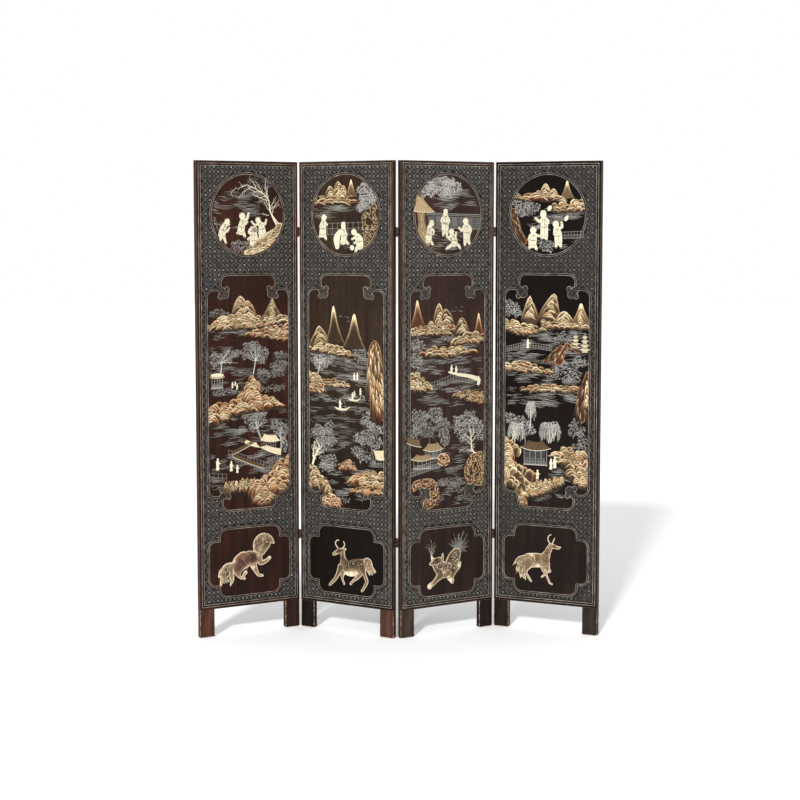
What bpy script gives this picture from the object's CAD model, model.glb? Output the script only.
"""Looks of the Chinese lacquer folding screen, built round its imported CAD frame.

Everything inlaid is drawn in the plan of a leaf: u runs from the leaf's left edge, z from the
floor and h out of the front face, all in millimetres.
"""
import math

import bpy
import numpy as np
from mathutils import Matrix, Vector


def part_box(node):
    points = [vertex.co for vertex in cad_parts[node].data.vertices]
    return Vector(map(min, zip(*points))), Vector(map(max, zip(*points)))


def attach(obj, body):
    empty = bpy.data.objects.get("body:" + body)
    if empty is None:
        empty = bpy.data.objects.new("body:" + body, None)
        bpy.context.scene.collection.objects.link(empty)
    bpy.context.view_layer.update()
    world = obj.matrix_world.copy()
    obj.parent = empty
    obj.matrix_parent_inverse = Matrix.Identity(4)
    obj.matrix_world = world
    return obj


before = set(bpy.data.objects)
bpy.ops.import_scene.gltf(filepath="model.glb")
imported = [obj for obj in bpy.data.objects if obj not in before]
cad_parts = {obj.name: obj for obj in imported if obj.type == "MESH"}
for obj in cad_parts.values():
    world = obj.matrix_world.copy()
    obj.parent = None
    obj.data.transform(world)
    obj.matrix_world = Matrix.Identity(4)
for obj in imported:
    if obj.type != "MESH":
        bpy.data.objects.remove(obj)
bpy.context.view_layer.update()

MM = 0.001

# ---- the leaf and its borders, as the CAD frame has them (mm) -------------------------------
LEAVES = (1, 2, 3, 4)
TURN = {1: 31.4, 2: -32.5, 3: 33.3, 4: -26.0}
LEAF_W, LEAF_H, LEAF_T = 434.0, 1830.0, 20.0
FOOT_H, SKIN_T, STILE_W = 107.0, 1.0, 62.0
MIDDLE_U = LEAF_W / 2
FRAME_LINE = 18.5
LINE_W = 1.6
DOUBLE_LINE = 6.5

ROUNDEL = (MIDDLE_U, LEAF_H - 204)
ROUNDEL_R = 154
TALL = (MIDDLE_U, LEAF_H - 889)
TALL_SIZE, TALL_NECK, TALL_R = (348, 791), (228, 906), (26, 26)
LOW = (MIDDLE_U, LEAF_H - 1548)
LOW_SIZE, LOW_NECK, LOW_R = (349, 170), (258, 263), (24, 31)
# Circles of a cloud head: offset from the stepped corner into the picture, and radius
CLOUD = ((0, 0, 14), (14, 14, 17), (-5.5, 23.5, 10), (23.5, -5.5, 10))

# ---- heights over the front face (mm) -------------------------------------------------------
SUNK = -0.05
PLATE_TOP = 0.06
PATTERN_TOP = 0.16
LOW_RELIEF = 0.3


# ---- distances to outlines ------------------------------------------------------------------
def circle_gap(p, centre, r):
    """Distance of points p, an array of (u, z), outside a circle; negative inside."""
    return np.hypot(p[..., 0] - centre[0], p[..., 1] - centre[1]) - r


def box_gap(p, centre, size, r):
    """The same for a rectangle with round corners."""
    qu = np.abs(p[..., 0] - centre[0]) - (size[0] / 2 - r)
    qz = np.abs(p[..., 1] - centre[1]) - (size[1] / 2 - r)
    outside = np.hypot(np.maximum(qu, 0), np.maximum(qz, 0))
    return outside + np.minimum(np.maximum(qu, qz), 0) - r


def stepped_gap(p, centre, size, neck, radii):
    return np.minimum(box_gap(p, centre, size, radii[0]), box_gap(p, centre, neck, radii[1]))


def cloud_gap(p):
    """Distance outside the four cloud heads in the corners of the tall picture."""
    qu = TALL_NECK[0] / 2 - np.abs(p[..., 0] - TALL[0])
    qz = TALL_SIZE[1] / 2 - np.abs(p[..., 1] - TALL[1])
    gaps = [np.hypot(qu - du, qz - dz) - r for du, dz, r in CLOUD]
    return np.minimum.reduce(gaps)


def roundel_gap(p):
    return circle_gap(p, ROUNDEL, ROUNDEL_R)


def tall_gap(p):
    return np.maximum(stepped_gap(p, TALL, TALL_SIZE, TALL_NECK, TALL_R), -cloud_gap(p))


def low_gap(p):
    return stepped_gap(p, LOW, LOW_SIZE, LOW_NECK, LOW_R)


def ground_gap(p):
    """Distance outside the patterned ground, which is what the frame and the pictures leave."""
    board = ((MIDDLE_U, (LEAF_H + FOOT_H) / 2), (LEAF_W, LEAF_H - FOOT_H), 0)
    clear = LINE_W / 2 + 0.5
    out = box_gap(p, *board) + FRAME_LINE + clear
    edge = DOUBLE_LINE + clear
    for gap in (roundel_gap(p), stepped_gap(p, TALL, TALL_SIZE, TALL_NECK, TALL_R), low_gap(p)):
        out = np.maximum(out, edge - gap)
    return out


def pulled_in(p, gap, margin):
    """Points p moved the short way to inside an outline."""
    e = 0.5
    for _ in range(3):
        over = np.maximum(gap(p) + margin, 0)
        if not over.any():
            break
        du = gap(p + (e, 0)) - gap(p - (e, 0))
        dz = gap(p + (0, e)) - gap(p - (0, e))
        size = np.maximum(np.hypot(du, dz), 1e-6)
        p = p - np.stack([du / size, dz / size], -1) * over[..., None]
    return p


# ---- curves ---------------------------------------------------------------------------------
def smooth(points, steps=4, closed=False):
    """Catmull-Rom curve through hand-chosen points."""
    p = np.asarray(points, float)
    if closed:
        p = np.concatenate([p[-1:], p, p[:2]])
    else:
        p = np.concatenate([2 * p[:1] - p[1:2], p, 2 * p[-1:] - p[-2:-1]])
    t = np.arange(steps)[:, None] / steps
    out = []
    for a, b, c, d in zip(p, p[1:], p[2:], p[3:]):
        out.append(0.5 * (2 * b + (c - a) * t + (2 * a - 5 * b + 4 * c - d) * t ** 2
                          + (3 * b - a - 3 * c + d) * t ** 3))
    if not closed:
        out.append(p[-2:-1])
    return np.concatenate(out)


def polygon_gap(p, outline):
    """Distance of points outside a closed polygon; negative inside."""
    a = np.asarray(outline, float)
    b = np.roll(a, -1, axis=0)
    far = np.full(p.shape[:-1], np.inf)
    inside = np.zeros(p.shape[:-1], bool)
    for (au, az), (bu, bz) in zip(a, b):
        du, dz = bu - au, bz - az
        pu, pz = p[..., 0] - au, p[..., 1] - az
        t = np.clip((pu * du + pz * dz) / max(du * du + dz * dz, 1e-9), 0, 1)
        far = np.minimum(far, np.hypot(pu - t * du, pz - t * dz))
        if dz:
            crosses = (az > p[..., 1]) != (bz > p[..., 1])
            inside ^= crosses & (pu < pz * du / dz)
    return np.where(inside, -far, far)


def signed_area(ring):
    u, z = ring.T
    return 0.5 * np.sum(u * np.roll(z, -1) - np.roll(u, -1) * z)


def rectangle(left, right, low, high):
    return [(left, low), (right, low), (right, high), (left, high)]


def scattered(rng, low, high, apart, wander):
    """Points of a grid over an area, each moved a little at random."""
    grid = np.meshgrid(np.arange(low[0], high[0], apart), np.arange(low[1], high[1], apart))
    at = np.stack(grid, -1).reshape(-1, 2)
    return at + rng.uniform(-wander, wander, at.shape)


# ---- pieces ---------------------------------------------------------------------------------
EASED = 0.5                               # how far in the upper edge of a slab lies



class Piece:
    """Thin closed solids of one material on one leaf, gathered into one mesh."""

    def __init__(self, leaf, name, material, slot="inlay"):
        self.leaf, self.name, self.material, self.slot = leaf, name, material, slot
        self.verts, self.faces, self.tones, self.count = [], [], [], 0

    def add(self, verts, face_groups, tones):
        """verts (m, k, 3) for m copies of one form; face_groups hold k-numbered faces."""
        verts = np.asarray(verts, float)
        m, k = verts.shape[:2]
        start = (self.count + np.arange(m) * k)[:, None, None]
        for group in face_groups:
            faces = np.asarray(group)
            self.faces += (faces[None] + start).reshape(-1, faces.shape[1]).tolist()
        self.verts.append(verts.reshape(-1, 3))
        self.tones.append(np.broadcast_to(tones, (m, k)).reshape(-1))
        self.count += m * k

    def domes(self, rings, heights, tones):
        """Solids from nested outline rings (m, levels, n, 2), the outermost first.

        heights is one number a ring, or one a point.
        """
        rings = np.asarray(rings, float)
        m, levels, n = rings.shape[:3]
        rings = np.concatenate([rings[:, :1], rings], axis=1)
        heights = np.asarray(heights, float)
        if heights.ndim < 3:
            heights = np.broadcast_to(heights, (m, levels))[..., None]
        heights = np.broadcast_to(heights, (m, levels, n))
        heights = np.concatenate([np.full((m, 1, n), SUNK), heights], axis=1)
        verts = np.concatenate([rings, heights[..., None]], axis=-1).reshape(m, -1, 3)
        tones = np.broadcast_to(tones, (m, levels, n))
        tones = np.concatenate([tones[:, :1], tones], axis=1).reshape(m, -1)
        i = np.arange(n)
        j = (i + 1) % n
        walls = [np.column_stack([k * n + i, k * n + j, (k + 1) * n + j, (k + 1) * n + i])
                 for k in range(levels)]
        caps = [i[::-1], levels * n + i]
        self.add(verts, [np.concatenate(walls), caps], tones)

    def slab(self, outline, top, tone):
        """Flat plate with eased upper edges."""
        outer = np.asarray(outline, float)
        if signed_area(outer) < 0:
            outer = outer[::-1]
        middle = outer.mean(0)
        reach = np.maximum(np.hypot(*(outer - middle).T), 1e-6)[:, None]
        inner = middle + (outer - middle) * np.maximum(1 - EASED / reach, 0.3)
        self.domes([[outer, inner]], [top * 0.7, top], [[[tone * 0.9], [tone]]])

    def strokes(self, paths, widths, top, tones, lift=0.0):
        """Tapered lines with a ridge; paths is (m, n, 2). lift sets them on walls."""
        paths = np.asarray(paths, float)
        m, n = paths.shape[:2]
        along = np.gradient(paths, axis=1)
        along /= np.maximum(np.linalg.norm(along, axis=-1, keepdims=True), 1e-9)
        left = np.stack([-along[..., 1], along[..., 0]], -1)
        half = np.broadcast_to(widths, (m, n))[..., None] / 2
        if lift:
            section = ((-1, SUNK), (-1, lift), (0, lift + top), (1, lift), (1, SUNK))
        else:
            section = ((-1, SUNK), (0, top), (1, SUNK))
        rings = [np.concatenate([paths + left * half * s, np.full((m, n, 1), h)], -1)
                 for s, h in section]
        verts = np.concatenate(rings, axis=1)
        size = len(section)
        i = np.arange(n - 1)
        sides = []
        for k in range(size):
            a, b = k * n, (k + 1) % size * n
            sides.append(np.column_stack([a + i, a + i + 1, b + i + 1, b + i]))
        ends = np.arange(size) * n
        tones = np.tile(np.broadcast_to(tones, (m, n)), size)
        self.add(verts, [np.concatenate(sides), [ends, ends[::-1] + n - 1]], tones)

    def stroke(self, path, width, top=LOW_RELIEF, tone=1.0, lift=0.0, taper=0.3):
        """One line through hand-chosen points, thinner towards its end."""
        path = np.asarray(path, float)
        widths = width * (1 - (1 - taper) * np.linspace(0, 1, len(path)))
        self.strokes([path], widths, top, tone, lift)

    def blades(self, at, angle, length, width, top, tones, lift=0.0):
        """Small pointed leaves that start at points (m, 2)."""
        at = np.asarray(at, float)
        m = len(at)
        along = np.stack([np.cos(angle), np.sin(angle)], -1)
        left = np.stack([-along[:, 1], along[:, 0]], -1)
        length = np.broadcast_to(length, m)[:, None]
        half = np.broadcast_to(width, m)[:, None] / 2
        middle = at + along * length * 0.45
        flat = np.stack([at, middle - left * half, at + along * length, middle + left * half], 1)
        low = np.concatenate([flat, np.full((m, 4, 1), SUNK)], -1)
        apex = np.concatenate([middle, np.full((m, 1), lift + top)], -1)[:, None]
        ring = np.array([[0, 1], [1, 2], [2, 3], [3, 0]])
        if lift:
            high = np.concatenate([flat, np.full((m, 4, 1), lift)], -1)
            verts = np.concatenate([low, high, apex], 1)
            walls = np.column_stack([ring, ring[:, ::-1] + 4])
            tips = np.column_stack([ring + 4, np.full(4, 8)])
            groups = [np.concatenate([walls, [[3, 2, 1, 0]]]), tips]
        else:
            verts = np.concatenate([low, apex], 1)
            groups = [np.column_stack([ring, np.full(4, 4)]), [[3, 2, 1, 0]]]
        self.add(verts, groups, np.broadcast_to(tones, m)[:, None])

    def relief(self, gap, corner, size, cell, height, tone):
        """Solid over the area where gap is negative.

        height and tone are functions of the points and of their depth inside the outline.
        """
        us = np.arange(corner[0], corner[0] + size[0] + cell, cell)
        zs = np.arange(corner[1], corner[1] + size[1] + cell, cell)
        grid = np.stack(np.meshgrid(us, zs), -1)
        d = gap(grid)
        inside = d < 0
        points, known, faces = [], {}, []

        def number(key, point):
            if key not in known:
                known[key] = len(points)
                points.append(point)
            return known[key]

        touched = inside[:-1, :-1] | inside[1:, :-1] | inside[:-1, 1:] | inside[1:, 1:]
        for j, i in zip(*np.nonzero(touched)):
            ring = ((j, i), (j, i + 1), (j + 1, i + 1), (j + 1, i))
            face = []
            for a, b in zip(ring, ring[1:] + ring[:1]):
                if inside[a]:
                    face.append(number(a, grid[a]))
                if inside[a] != inside[b]:
                    low, high = sorted((a, b))
                    t = d[low] / (d[low] - d[high])
                    face.append(number((low, high), grid[low] + t * (grid[high] - grid[low])))
            faces.append(face)
        if not points:
            return
        p = np.array(points)
        depth = np.maximum(-gap(p), 0)
        top = np.column_stack([p, height(p, depth)])
        low = np.column_stack([p, np.full(len(p), SUNK)])
        n = len(p)
        edges = {(a, b) for face in faces for a, b in zip(face, face[1:] + face[:1])}
        rim = [(b, a, a + n, b + n) for a, b in edges if (b, a) not in edges]
        under = [[v + n for v in reversed(face)] for face in faces]
        start = self.count
        self.faces += [[v + start for v in face] for face in faces + rim + under]
        self.verts += [top, low]
        self.tones += [tone(p, depth)] * 2
        self.count += 2 * n

    def finish(self):
        """Makes the mesh object in the frame's place, on its leaf's body."""
        if not self.count:
            return
        u, z, h = np.concatenate(self.verts).T
        corner, along, inward = PLACE[self.leaf]
        xy = corner + np.outer(u, along) - np.outer(h, inward)
        mesh = bpy.data.meshes.new(self.name)
        mesh.from_pydata(np.column_stack([xy, z]) * MM, [], self.faces)
        tone = mesh.attributes.new("tone", "FLOAT", "POINT")
        tone.data.foreach_set("value", np.concatenate(self.tones).astype(np.float32))
        mesh.materials.append(self.material)
        piece = bpy.data.objects.new(self.name, mesh)
        bpy.context.scene.collection.objects.link(piece)
        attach(piece, f"leaf_{self.leaf}")


def leaf_place(leaf):
    """Front left corner of a leaf (mm), and its directions along and into the leaf."""
    turn = math.radians(TURN[leaf])
    low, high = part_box(f"leaf_{leaf}_front_skin")
    if turn > 0:
        corner = (low.x / MM + SKIN_T * math.sin(turn), low.y / MM)
    else:
        corner = (low.x / MM, high.y / MM - SKIN_T * math.cos(turn))
    along = np.array([math.cos(turn), math.sin(turn)])
    inward = np.array([-math.sin(turn), math.cos(turn)])
    return np.array(corner), along, inward


PLACE = {leaf: leaf_place(leaf) for leaf in LEAVES}


# ---- materials ------------------------------------------------------------------------------
# How much darker the surfaces are than they look under the studio's strong light
UNDER_LIGHT = 0.82


def linear(r, g, b):
    """Colour as it is to look (0 to 255) to the shader's own values."""
    def one(v):
        v /= 255
        return UNDER_LIGHT * (v / 12.92 if v <= 0.04045 else ((v + 0.055) / 1.055) ** 2.4)
    return one(r), one(g), one(b), 1.0


class Look:
    """One Principled material and the nodes that drive it."""

    def __init__(self, name, **sockets):
        self.material = bpy.data.materials.new(name)
        self.material.use_nodes = True
        self.tree = self.material.node_tree
        self.shader = self.tree.nodes["Principled BSDF"]
        for socket, value in sockets.items():
            self.shader.inputs[socket.replace("_", " ")].default_value = value

    def node(self, kind, **inputs):
        n = self.tree.nodes.new("ShaderNode" + kind)
        for key, value in inputs.items():
            self.feed(n.inputs[key], value)
        return n

    def feed(self, socket, value):
        if isinstance(value, bpy.types.NodeSocket):
            self.tree.links.new(value, socket)
        else:
            socket.default_value = value

    def math(self, operation, *values):
        n = self.node("Math")
        n.operation = operation
        for socket, value in zip(n.inputs, values):
            self.feed(socket, value)
        return n.outputs[0]

    def swing(self, value, middle, reach):
        """A value moved so that its middle is zero, and scaled."""
        return self.math("MULTIPLY", self.math("SUBTRACT", value, middle), reach)

    def point(self):
        """Place on the object at rest, in metres."""
        return self.node("TexCoord").outputs["Object"]

    def in_leaf(self, leaf):
        """Place in a leaf's own plan, in metres: along, inward and up."""
        x, y = PLACE[leaf][0] * MM
        turn = -math.radians(TURN[leaf])
        n = self.node("Mapping", Vector=self.point())
        n.inputs["Rotation"].default_value = (0, 0, turn)
        n.inputs["Location"].default_value = (
            -(x * math.cos(turn) - y * math.sin(turn)),
            -(x * math.sin(turn) + y * math.cos(turn)), 0)
        return n.outputs[0]

    def stretched(self, vector, scale):
        n = self.node("Mapping", Vector=vector)
        n.inputs["Scale"].default_value = scale
        return n.outputs[0]

    def noise(self, vector, scale, detail=3.0, rough=0.55):
        n = self.node("TexNoise", Vector=vector, Scale=scale, Detail=detail, Roughness=rough)
        return n.outputs[0]

    def cracks(self, vector, scale):
        n = self.node("TexVoronoi", Vector=vector, Scale=scale)
        n.feature = "DISTANCE_TO_EDGE"
        return n.outputs["Distance"]

    def ramp(self, value, *stops):
        """Stops are (place, colour) or (place, grey value)."""
        n = self.node("ValToRGB", Fac=value)
        elements = n.color_ramp.elements
        while len(elements) < len(stops):
            elements.new(0.5)
        for element, (place, colour) in zip(elements, stops):
            element.position = place
            element.color = colour if isinstance(colour, tuple) else (colour,) * 3 + (1,)
        return n.outputs[0]

    def toned(self, grain, detail, rough, mottled):
        """The attribute tone of the mesh, mottled by a noise."""
        tone = self.node("Attribute")
        tone.attribute_name = "tone"
        spots = self.noise(self.point(), grain, detail, rough)
        return self.math("ADD", tone.outputs["Fac"], self.swing(spots, 0.5, mottled))

    def mix(self, share, a, b):
        n = self.node("Mix")
        n.data_type = "RGBA"
        for number, value in zip((0, 6, 7), (share, a, b)):
            self.feed(n.inputs[number], value)
        return n.outputs[2]

    def colour(self, value):
        self.feed(self.shader.inputs["Base Color"], value)

    def rough(self, value):
        self.feed(self.shader.inputs["Roughness"], value)

    def bump(self, height, strength, distance):
        n = self.node("Bump", Height=height, Strength=strength, Distance=distance)
        self.feed(self.shader.inputs["Normal"], n.outputs[0])

    def edge_distance(self, place, lows_highs):
        """Distance (m) from the nearest edge of a block, given as its faces on each axis."""
        axes = self.node("SeparateXYZ", Vector=place).outputs
        near = []
        for axis, faces in zip(axes, lows_highs):
            far = None
            for face in faces:
                away = self.math("ABSOLUTE", self.math("SUBTRACT", axis, face * MM))
                far = away if far is None else self.math("MINIMUM", far, away)
            near.append(far)
        a, b, c = near
        low = self.math("MINIMUM", a, b)
        high = self.math("MAXIMUM", a, b)
        return self.math("MAXIMUM", low, self.math("MINIMUM", high, c))

    def worn_edge(self, place, block, chips, most, width):
        """How bare a block is: most on its very edges, and nothing inside them."""
        inside = self.math("SUBTRACT", self.edge_distance(place, block), chips)
        return self.ramp(self.math("MULTIPLY", inside, 400), (0.0, most), (width, 0.0))


# Colours of the lacquer field of each leaf: dark and redder, at its foot and at its head
FIELD = {1: ((33, 21, 16), (62, 30, 22), (38, 24, 18), (69, 36, 25)),
         2: ((15, 10, 7), (23, 16, 12), (41, 31, 24), (64, 49, 37)),
         3: ((33, 24, 20), (54, 36, 31), (44, 32, 29), (70, 49, 42)),
         4: ((26, 19, 17), (42, 30, 24), (13, 9, 7), (24, 16, 12))}
BACK_FIELD = ((26, 18, 15), (48, 31, 25), (22, 16, 13), (40, 27, 22))
WORN = (128, 104, 82)
SOOT = (14, 10, 8)
LACQUER_SHINE = 0.06
AT_FOOT, OVER_FOOT = FOOT_H * MM, FOOT_H * MM + 0.02


def skin_lacquer(name, leaf, tints):
    """Dark lacquer with upright streaks of its boards, fine cracks and rubbed edges."""
    look = Look(f"{name}_{leaf}", Specular_IOR_Level=LACQUER_SHINE)
    place = look.in_leaf(leaf)
    upright = look.stretched(place, (1, 1, 0.06))
    streaks = look.ramp(look.noise(upright, 38, 4, 0.6), (0.38, 0.0), (0.68, 1.0))
    patches = look.ramp(look.noise(place, 5.5, 2), (0.35, 0.25), (0.65, 1.0))
    share = look.math("MULTIPLY", streaks, patches)
    up = look.ramp(look.node("SeparateXYZ", Vector=place).outputs["Z"], (0.45, 0.0), (1.0, 1.0))
    foot_dark, foot_red, head_dark, head_red = (linear(*c) for c in tints)
    tint = look.mix(share, look.mix(up, foot_dark, head_dark), look.mix(up, foot_red, head_red))
    crackle = look.cracks(look.stretched(place, (1, 1, 0.35)), 120)
    crackle = look.ramp(crackle, (0.0, 0.0), (0.05, 1.0))
    tint = look.mix(crackle, look.mix(0.5, tint, linear(*SOOT)), tint)
    block = ((0, LEAF_W), (0, LEAF_T), (FOOT_H, LEAF_H))
    chips = look.swing(look.noise(place, 45, 5, 0.7), 0.42, 0.008)
    look.colour(look.mix(look.worn_edge(place, block, chips, 0.3, 0.5), tint, linear(*WORN)))
    look.rough(look.ramp(look.noise(place, 14, 4), (0.3, 0.26), (0.7, 0.42)))
    look.bump(look.noise(upright, 60, 3), 0.25, 0.0006)
    return look.material


def frame_lacquer(leaf, side, base, red):
    """Brown-red lacquer of stiles, feet and rails, chipped to the ground on its edges."""
    look = Look(f"frame_lacquer_{leaf}_{side}", Specular_IOR_Level=LACQUER_SHINE)
    place = look.in_leaf(leaf)
    upright = look.stretched(place, (1, 1, 0.12))
    share = look.ramp(look.noise(upright, 45, 5, 0.65), (0.36, 0.0), (0.66, 1.0))
    height = look.node("SeparateXYZ", Vector=place).outputs["Z"]
    darker = look.ramp(height, (0.1, 0.0), (0.5, 0.45))
    tint = look.mix(darker, look.mix(share, linear(*base), linear(*red)), linear(*SOOT))
    block = ((0, STILE_W, LEAF_W - STILE_W, LEAF_W), (0, LEAF_T), (0, LEAF_H))
    chips = look.swing(look.noise(place, 40, 6, 0.75), 0.45, 0.012)
    bare = look.math("MULTIPLY", look.worn_edge(place, block, chips, 0.85, 0.45),
                     look.ramp(height, (AT_FOOT, 1.0), (OVER_FOOT, 0.25)))
    grain = look.noise(place, 160, 3)
    ground = look.ramp(grain, (0.35, linear(120, 92, 66)), (0.65, linear(196, 172, 138)))
    look.colour(look.mix(bare, tint, ground))
    look.rough(look.ramp(look.noise(place, 20, 4), (0.3, 0.3), (0.7, 0.5)))
    hollow = look.math("MULTIPLY", bare, -0.5)
    look.bump(look.math("ADD", look.noise(upright, 90, 4), hollow), 0.4, 0.0006)
    return look.material


def plain(name, noise, colours, roughness, depth, stretch=(1, 1, 1), fine=None, **sockets):
    """Material whose colour and roughness follow one noise, and its bumps that or a finer one."""
    look = Look(name, **sockets)
    place = look.stretched(look.point(), stretch)
    wear = look.noise(place, *noise)
    look.colour(look.ramp(wear, *((level, linear(*colour)) for level, colour in colours)))
    look.rough(look.ramp(wear, *roughness))
    look.bump(look.noise(place, *fine) if fine else wear, 0.3, depth)
    return look.material


def stone_inlay(name, *colours, grain=130, mottled=0.3):
    """Soapstone, from dark to pale by the attribute tone."""
    look = Look(name, Specular_IOR_Level=0.14)
    level = look.toned(grain, 5, 0.62, mottled)
    stops = [(k / (len(colours) - 1), linear(*colour)) for k, colour in enumerate(colours)]
    look.colour(look.ramp(level, *stops))
    look.rough(look.ramp(level, (0.2, 0.5), (0.9, 0.34)))
    look.bump(look.noise(look.point(), 260, 4), 0.25, 0.0004)
    return look.material


def pale_inlay(name, dark, light, grain, shine=0.15):
    """Bone or shell: one pale colour from dark to light by the attribute tone."""
    look = Look(name, Specular_IOR_Level=shine)
    level = look.toned(grain, 4, 0.6, 0.25)
    look.colour(look.ramp(level, (0.0, linear(*dark)), (1.0, linear(*light))))
    look.rough(look.ramp(look.noise(look.point(), 40, 3), (0.3, 0.32), (0.7, 0.5)))
    look.bump(look.noise(look.point(), 300, 3), 0.2, 0.0003)
    return look.material


STONE = stone_inlay("stone_inlay", (30, 22, 15), (74, 56, 38), (118, 97, 69), (174, 151, 113),
                    (238, 222, 186))
RUSTY = stone_inlay("rusty_inlay", (36, 20, 13), (84, 51, 32), (134, 91, 59), (186, 150, 108),
                    (236, 217, 179))
HIDE = stone_inlay("beast_inlay", (24, 19, 15), (80, 62, 46), (142, 119, 92), (234, 221, 192),
                   grain=190, mottled=0.5)
RUDDY = stone_inlay("ruddy_inlay", (26, 17, 13), (78, 54, 41), (132, 101, 79), (232, 214, 184),
                    grain=190, mottled=0.5)
BONE = pale_inlay("bone_inlay", (48, 32, 20), (224, 215, 187), 90)
PEARL = pale_inlay("pearl_inlay", (16, 15, 14), (204, 201, 192), 200)
GROUND = pale_inlay("ground_inlay", (16, 15, 14), (190, 186, 178), 30, 0.1)
# Dark bed of the patterned ground, grey with filler between its grains
PLATE = plain("ground_plate", (420, 4, 0.7), ((0.45, (17, 15, 13)), (0.7, (58, 53, 49))),
              ((0.3, 0.6), (0.7, 0.4)), 0.0003, Specular_IOR_Level=LACQUER_SHINE)
# Worn pale line: bone with grey and brown stretches
BORDER = plain("border_inlay", (26, 5, 0.65),
               ((0.34, (92, 84, 76)), (0.5, (134, 126, 116)), (0.68, (176, 168, 154))),
               ((0.3, 0.65), (0.7, 0.45)), 0.0003, fine=(400, 3), Specular_IOR_Level=0.3)
WOOD = plain("bare_wood", (90, 5, 0.6), ((0.3, (120, 88, 56)), (0.7, (176, 138, 96))),
             ((0.3, 0.6), (0.7, 0.8)), 0.0005, stretch=(1, 1, 0.05), Specular_IOR_Level=0.2)
BRASS, IRON = (plain(name, (60, 5, 0.65), ((0.35, dark), (0.65, light)),
                     ((0.35, 0.62), (0.65, 0.38)), 0.0004, Metallic=0.85)
               for name, dark, light in (("old_brass", (44, 26, 19), (88, 56, 40)),
                                         ("dull_iron", (52, 46, 42), (104, 96, 88))))

# Base and redder colour of the left stile and of the right stile of each leaf
FRAME_TINT = {1: (((44, 28, 22), (86, 56, 44)), ((26, 17, 14), (50, 33, 28))),
              2: (((15, 11, 9), (28, 21, 18)), ((44, 29, 24), (84, 56, 46))),
              3: (((37, 29, 26), (68, 53, 47)), ((19, 13, 11), (36, 26, 22))),
              4: (((20, 15, 13), (38, 28, 24)), ((28, 22, 20), (52, 42, 38)))}


def finish_cad_nodes():
    """Gives each CAD node the material of what it is made of."""
    for leaf in LEAVES:
        left, right = (frame_lacquer(leaf, side, *tints)
                       for side, tints in zip(("left", "right"), FRAME_TINT[leaf]))
        for piece, material in (
                ("left_stile", left), ("right_stile", right), ("top_rail", left),
                ("bottom_rail", left), ("middle_rails", WOOD), ("core_boards", WOOD),
                ("front_skin", skin_lacquer("front_lacquer", leaf, FIELD[leaf])),
                ("back_skin", skin_lacquer("back_lacquer", leaf, BACK_FIELD)),
                ("border_lines", BORDER), ("hinge_screws", IRON)):
            set_material(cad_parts[f"leaf_{leaf}_{piece}"], material)
    for name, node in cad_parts.items():
        if "hinge_p" in name:
            set_material(node, BRASS)


def set_material(node, material):
    for slot in node.material_slots:
        slot.material = material


# ---- patterned ground -----------------------------------------------------------------------
FLOWER_U, FLOWER_Z = 18.0, 17.75          # half the distance between flowers
FLOWER_AT = (22.0, 1788.0)
# How worn, and so how pale, the pattern is on each leaf
GROUND_SHADE = {1: 1.1, 2: 0.96, 3: 1.26, 4: 0.66}
LATTICE_LINE = 1.7                        # of a double line, each from its middle
LOZENGE = 13.0                            # half the width of a nested lozenge


def clipped_line(piece, a, b, tone, keep):
    """Straight line of the pattern, cut to where keep is true."""
    n = max(int(np.hypot(*(b - a)) / 0.6), 2)
    p = a + (b - a) * np.linspace(0, 1, n)[:, None]
    ok = np.concatenate([[False], keep(p), [False]])
    change = np.flatnonzero(ok[1:] != ok[:-1])
    for first, last in zip(change[::2], change[1::2] - 1):
        if last - first > 3:
            piece.strokes([p[[first, last]]], 1.0, PATTERN_TOP, tone)


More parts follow.
